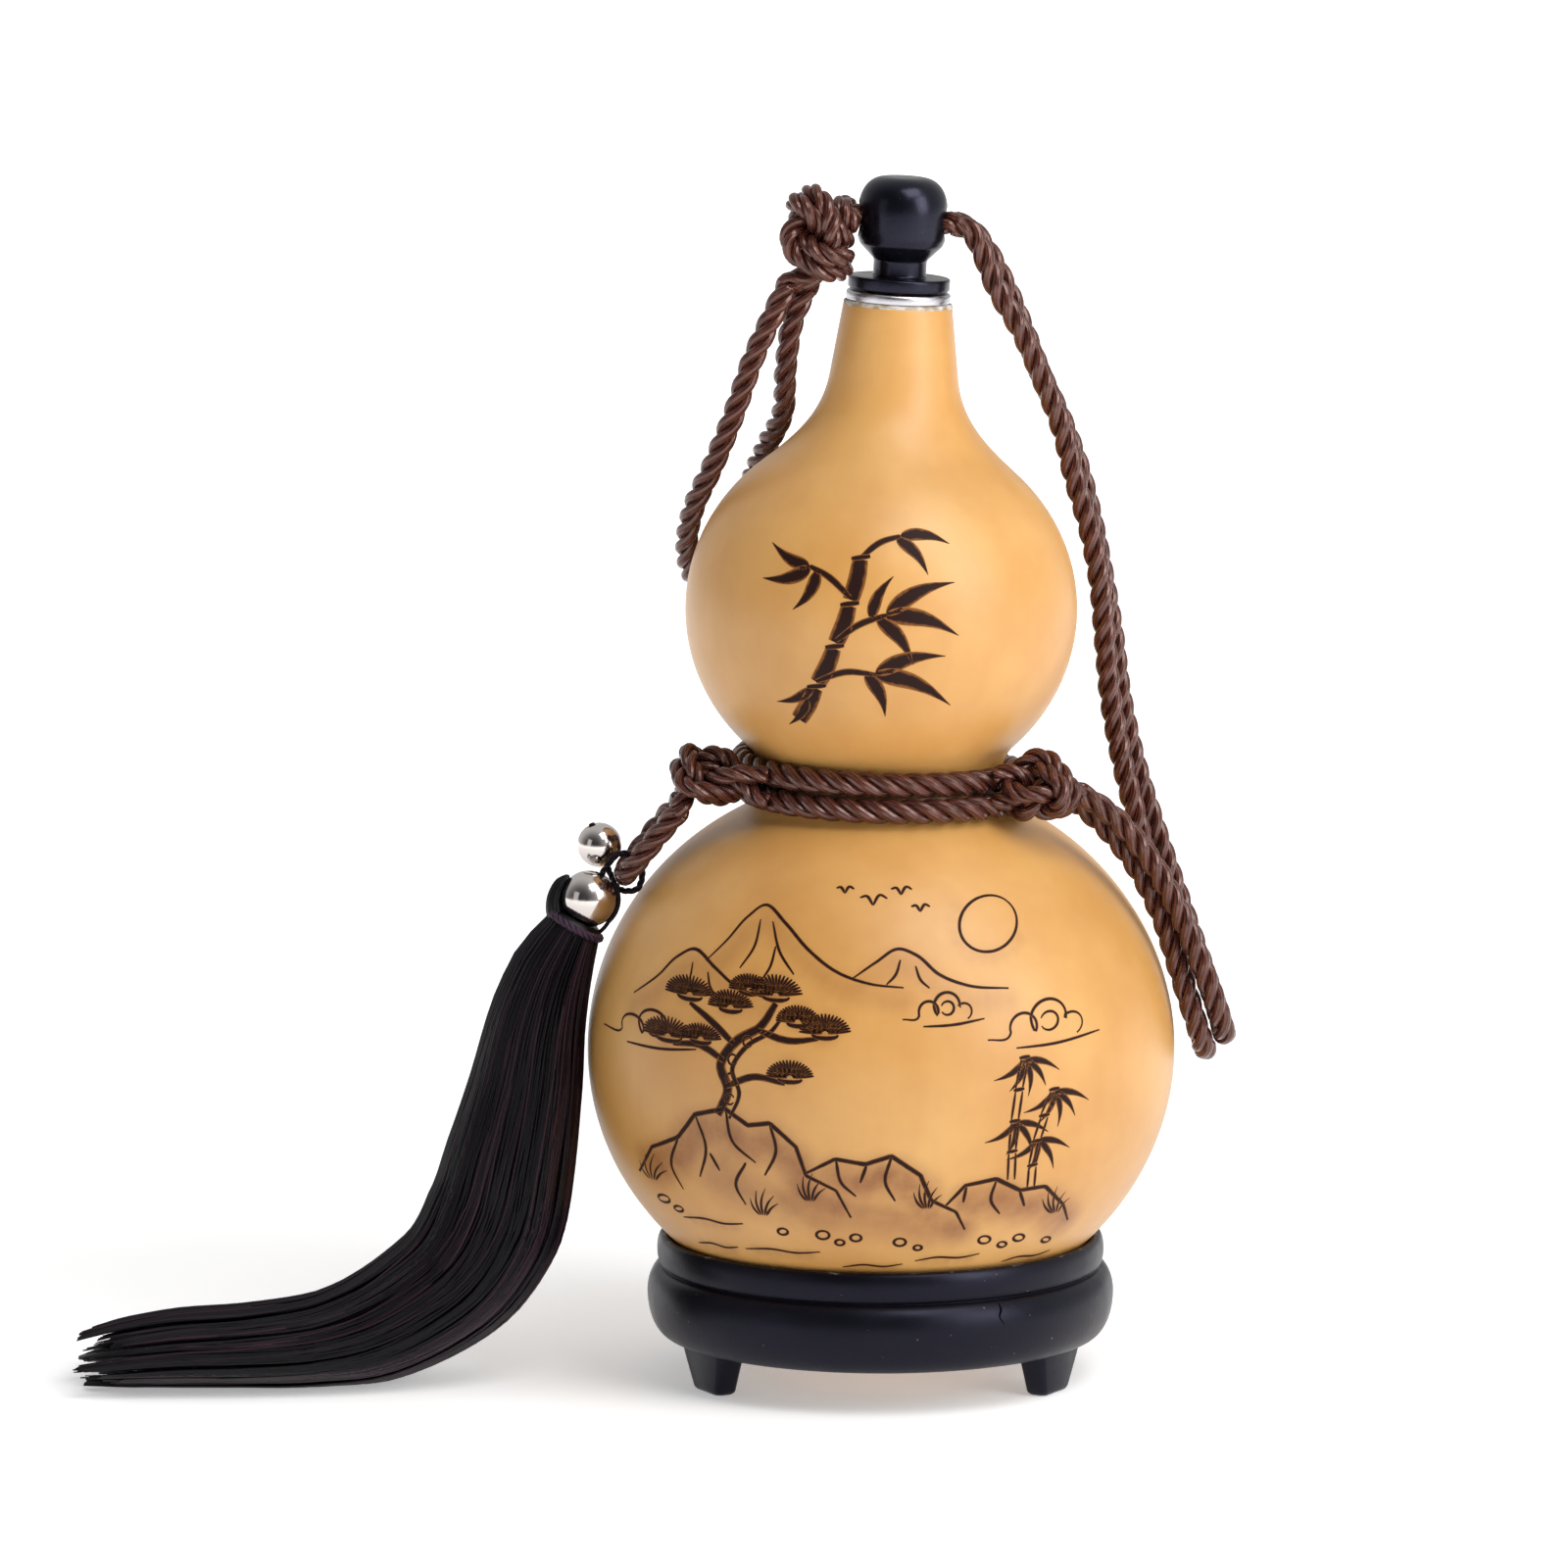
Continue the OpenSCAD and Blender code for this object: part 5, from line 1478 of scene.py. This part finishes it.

# %% [markdown]
# The string is a thin twisted thread in the same manner as the cord, 1.4 mm thick.

# %% Bead string
# As on the cord, the lighter colour is a painted highlight on the ridges and the darker one painted shade
# between them.
black_thread = rayon_yarn("black_thread", "#08070A", "#2B2126", "#8A7C88", ridges=5, slant=-8, depth=0.04)
string_d, string_lay = 1.4, 4.5
string_path = smooth_path(string_route, 0.3)
points, faces, uvs = twisted(string_path, (0, 1, 0), d=string_d, lay=string_lay, sides=8)
bead_string = make_piece("bead_string_twisted", points, faces, black_thread, "bottle", uvs)
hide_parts("bead_string")
print(f"Bead string: {path_length(string_path):.0f} mm")

# %% [markdown]
# ## The tassel
#
# About a thousand lengths of thin black rayon yarn are folded over a string below the large bead,
# bound together, and left to hang. The skirt hangs down, bends where it meets the ground and spreads
# to the left along it. Hair particles wouldn't survive the export, so every yarn is a thin tube of its
# own. Each keeps its place in the bundle's cross-section, but the yarns gather into locks towards the
# tips, where locks end at different lengths. A dark core fills the inside, where single yarns don't
# show. The route below gives the bundle's middle line, and its half width and half height at each
# point of it.

# %% Route of the yarn
skirt_route = np.array([
    (-69.4, -6, 77.4, 9, 9), (-72.6, -6.4, 60.2, 10.6, 10.6), (-75.6, -7, 46.2, 12.2, 12.2),
    (-79, -7.6, 33.4, 13, 13.2), (-85, -8.4, 23.4, 14, 12.6), (-94, -9, 16.4, 15, 11.6),
    (-104, -9.4, 11.4, 16, 10.4), (-114, -9.6, 9, 17, 8.6), (-131, -9.8, 7.6, 18, 7.4),
    (-143, -9.8, 7.2, 18, 7), (-155, -9.8, 6.2, 18, 6), (-164, -9.8, 5, 17, 4.6)])
head_axis = np.array([math.sin(math.radians(head_tilt)), 0, math.cos(math.radians(head_tilt))])
head_drop, head_top_r = 6.4, 5.4
head_top = large_bead - head_drop * head_axis
head_middle = (head_top + skirt_route[0, :3]) / 2 - (1, 0, 0.5)
head_route = np.array([(*head_top, head_top_r, head_top_r),
                       (*(head_top - 2 * head_axis), head_top_r + 0.8, head_top_r + 0.8),
                       (*head_middle, 8, 8)])
yarn_route = np.vstack([head_route, skirt_route])
yarn_middle = smooth_path(yarn_route[:, :3], 2.0)
run_route = np.concatenate([[0], np.cumsum(np.linalg.norm(np.diff(yarn_route[:, :3], axis=0), axis=1))])
run_middle = np.linspace(0, run_route[-1], len(yarn_middle))
bundle_depth = np.interp(run_middle, run_route, yarn_route[:, 3])
bundle_height = np.interp(run_middle, run_route, yarn_route[:, 4])
bundle_side, bundle_up = frames_along(yarn_middle, (0, 1, 0))
print(f"Tassel of {run_route[-1]:.0f} mm from its head to the tips")

# %% [markdown]
# The yarn is black with a purple cast. A number at its points gives every yarn its own tone between
# black and a brownish purple, at random by yarn and by lock. The lighter yarns are painted satin streaks,
# a painted sheen for light raking along the bend, besides real differences in the dye. A middling
# roughness with a weak specular level and a trace of tinted sheen keeps the streaks soft.

# %% Black yarn material
yarn_black, tree, shader = new_material("black_rayon_yarn", {
    "Roughness": 0.36, "Specular IOR Level": 0.22, "Sheen Weight": 0.03, "Sheen Roughness": 0.3,
    "Sheen Tint": linear("#8C6F86")})
yarn_tone_and_glint = add_node(tree, "ShaderNodeAttribute", {"attribute_name": "yarn_tone_and_glint"})
# Near-black for most yarns, and brownish purple as painted satin glint.
yarn_tones_and_glints = add_node(tree, "ShaderNodeValToRGB", {"stops": ((0.45, "#050408"), (0.95, "#472C3A"))},
                 {"Fac": (yarn_tone_and_glint, "Fac")})
tree.links.new(yarn_tones_and_glints.outputs["Color"], shader.inputs["Base Color"])

# %% [markdown]
# Yarn is 0.5 to 0.7 mm thick, so a tube with four sides looks round. Each tube is drawn through 44
# places in the bundle and thins at its tip. Where the bundle lies on the ground, a yarn that would sink
# in is lifted until it rests on it.

# %% Tubes for the yarns
yarn_rings, yarn_sides, ground_gap = 44, 4, 0.35


def in_bundle(reach, around, at):
    """The place in mm of a yarn: reach from the bundle's middle, 1 at its edge, and angle around it."""
    k = np.clip(at, 0, 1) * (len(yarn_middle) - 1)
    line = np.arange(len(yarn_middle))
    middle, side, up = (np.stack([np.interp(k, line, table[:, c]) for c in range(3)], -1)
                        for table in (yarn_middle, bundle_side, bundle_up))
    depth, height = (np.interp(k, line, table) for table in (bundle_depth, bundle_height))
    across = (reach * np.cos(around) * depth)[..., None] * side
    raised = (reach * np.sin(around) * height)[..., None] * up
    return middle + across + raised


def yarn_tubes(reach, around, last, thickness):
    """Thin tubes for many yarns at once. reach and around are tables of yarn by ring."""
    rings, sides = yarn_rings, yarn_sides
    count = len(last)
    u = np.linspace(0, 1, rings)[None, :] ** 0.9 * last[:, None]
    middle = in_bundle(reach, around, u)
    middle[..., 2] = np.maximum(middle[..., 2], ground_gap + thickness[:, None] / 2)
    heading = np.gradient(middle, axis=1)
    heading /= np.linalg.norm(heading, axis=2, keepdims=True)
    side = np.cross(heading, (0.1, 1, 0.05))
    side /= np.linalg.norm(side, axis=2, keepdims=True)
    up = np.cross(heading, side)
    taper = np.interp(np.linspace(0, 1, rings), [0, 0.93, 1], [1, 1, 0.45])
    r = thickness[:, None] / 2 * taper
    angle = (2 * math.pi * np.arange(sides) / sides)[:, None]
    out = np.cos(angle) * side[:, :, None, :] + np.sin(angle) * up[:, :, None, :]
    points = middle[:, :, None, :] + r[..., None, None] * out
    one = np.array(tube_faces(rings, sides))
    start = (np.arange(count) * rings * sides)[:, None, None]
    walls = (one[None] + start).reshape(-1, 4).tolist()
    end_cap = (rings - 1) * sides + np.arange(sides)
    caps = (end_cap[None] + start[:, 0]).tolist()
    return points.reshape(-1, 3), walls + caps


# %% [markdown]
# Every yarn belongs to the lock whose place round the bundle is nearest to its own. From the binding
# down, it moves over to that lock's place, swings a little, and ends near its lock's end. The skirt also
# swells by 16% just under the binding, as packed yarn spreads out where nothing holds it any more.

# %% Locks and yarns
random = np.random.default_rng(7)
yarn_count, lock_count = 1000, 70
lock_around = random.uniform(0, 2 * math.pi, lock_count)
lock_reach = np.sqrt(random.uniform(0.3, 1, lock_count))
lock_end = 1 - np.abs(random.normal(0, 0.035, lock_count))
lock_tone_and_glint = random.uniform(0, 1, lock_count)
around0 = random.uniform(0, 2 * math.pi, yarn_count)
reach0 = np.sqrt(random.uniform(0.55, 1, yarn_count))
turn_apart = (around0[:, None] - lock_around[None] + math.pi) % (2 * math.pi) - math.pi
nearest = np.argmin(turn_apart**2 + (2 * (reach0[:, None] - lock_reach[None]))**2, axis=1)
u = np.linspace(0, 1, yarn_rings)[None, :]
gather = 0.72 * ease((u - 0.12) / 0.88)
apart = turn_apart[np.arange(yarn_count), nearest][:, None]
wave = 0.05 * np.sin(9 * u + random.uniform(0, 6.3, yarn_count)[:, None]) * ease(u / 0.25)
around = around0[:, None] - gather * apart + wave
reach = reach0[:, None] + gather * (lock_reach[nearest] - reach0)[:, None] * 0.8
swell, swing = ease(u / 0.2), 0.02 * np.sin(13 * u + random.uniform(0, 6.3, yarn_count)[:, None])
reach = np.minimum((1 + 0.16 * swell) * reach + swing, 1.02 + 0.06 * swell)
last = np.clip(lock_end[nearest] - np.abs(random.normal(0, 0.012, yarn_count)), 0.8, 1)
# Lighter tones are painted satin glints, set at random by lock and by yarn.
tone = np.clip(0.35 * lock_tone_and_glint[nearest] + 0.65 * random.beta(1.2, 2.6, yarn_count), 0, 1)
thickness = random.uniform(0.5, 0.68, yarn_count)
print(f"{yarn_count} yarns in {lock_count} locks")

# %% Skirt of the tassel
points, faces = yarn_tubes(reach, around, last, thickness)
skirt = make_piece("tassel_yarns", points, faces, yarn_black, "tassel")
store(skirt, "yarn_tone_and_glint", np.repeat(tone, yarn_rings * yarn_sides))
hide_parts("tassel_skirt", "tassel_head")

# %% Core of the bundle
core_share = 0.8
full = core_share * np.interp(run_middle / run_middle[-1], [0, 0.05, 0.8, 0.93, 1], [0.8, 1, 1, 0.7, 0.1])
points, faces, _ = sweep(yarn_middle, bundle_side, bundle_up, full * bundle_depth, full * bundle_height,
                         40, run_middle)
points[:, 2] = np.maximum(points[:, 2], 0.6)
make_piece("tassel_core", points, faces, yarn_black, "tassel")

# %% [markdown]
# A purplish black thread is wound once round the yarn, just under the bead, and pulled tight. Its ends
# overlap by a tenth of a turn and slip down a little, so it never forms a closed ring.

# %% Binding of the head
binding_turns, binding_d, binding_lay = 1.1, 1.7, 4.2
ring_angle = np.linspace(0, 2 * math.pi * binding_turns, 120)
ring_u, ring_v = np.array([0, 1.0, 0]), np.cross(head_axis, (0, 1.0, 0))
binding_out = head_top_r + 0.35
binding_path = (head_top + 0.9 * head_axis + binding_out * (np.cos(ring_angle)[:, None] * ring_u
                + np.sin(ring_angle)[:, None] * ring_v) - 0.9 * ring_angle[:, None] / 6.3 * head_axis)
binding_path = evenly(binding_path, 0.3)
# The lighter colour is a painted highlight on the ridges and the darker one painted shade between them.
purple_thread = rayon_yarn("purple_black_binding_thread", "#1A121C", "#5A4658", "#A58CA2",
                           ridges=5, slant=-8, depth=0.05)
points, faces, uvs = twisted(binding_path, head_axis, d=binding_d, lay=binding_lay, sides=8)
binding = make_piece("tassel_binding_thread", points, faces, purple_thread, "tassel", uvs)
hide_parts("tassel_binding")

# %% [markdown]
# Where the yarn folds over the string it makes a rounded head, and the large bead sits in it. A
# bundle of the same yarn runs up the bead's left side to the string, and a single black thread lies
# round its right side.

# %% Head of the tassel
def round_bead(degrees, reach, depth):
    """Points round the large bead in the picture's plane. reach is how far each is from its middle, and
    depth how far they lie behind it."""
    a = np.radians(degrees)
    return large_bead + np.stack([reach * np.cos(a), depth + 0 * a, reach * np.sin(a)], -1)


folded = soften([(0, -6.2), (3.1, -5.3), (4.3, -4.3), (5.3, -5.1), (5.7, -6.4), (5.6, -8), (5, -9.6),
                 (0, -9.6)], 0.8)
points, faces = turn(folded[::-1], 96)
points = tipped(points, head_tilt) + large_bead
head = make_piece("tassel_head_fold", points, faces, yarn_black, "tassel")
store(head, "yarn_tone_and_glint", np.full(len(points), 0.25))

# %% Yarn up the left side of the bead
at = np.linspace(130, 206, 60)
strap_line = round_bead(at, np.interp(at, [130, 134, 150, 206], [6, 6.25, 6.7, 7.45]), -0.6)
strap_side, strap_up = frames_along(strap_line, (0, 1, 0))
wide = np.interp(at, [130, 134, 150, 206], [0.5, 0.9, 1.5, 2.4])
strap_parts = []
for turn_at in np.arange(0, 360, 40):
    t = math.radians(turn_at) + np.linspace(0, 0.5, len(at))
    middle = (strap_line + (0.72 * wide * np.cos(t))[:, None] * strap_side
              + (0.45 * wide * np.sin(t))[:, None] * strap_up)
    strap_parts.append(sweep(middle, strap_side, strap_up, 0.36 * wide, 0.34 * wide, 10, at))
points, faces, uvs = join(strap_parts)
strap = make_piece("tassel_strap_yarns", points, faces, yarn_black, "tassel", uvs)
store(strap, "yarn_tone_and_glint", np.full(len(points), 0.35))

# %% Thread round the right side of the bead
thread_r = 0.42
at = np.linspace(38, -74, 70)
thread_line = round_bead(at, np.interp(at, [-74, -50, 38], [7.2, 6.15, 6.1]), -0.4)
thread_side, thread_up = frames_along(thread_line, (0, 1, 0))
points, faces, uvs = sweep(thread_line, thread_side, thread_up, thread_r, thread_r, 12, at / 9)
make_piece("tassel_side_thread", points, faces, black_thread, "tassel", uvs)
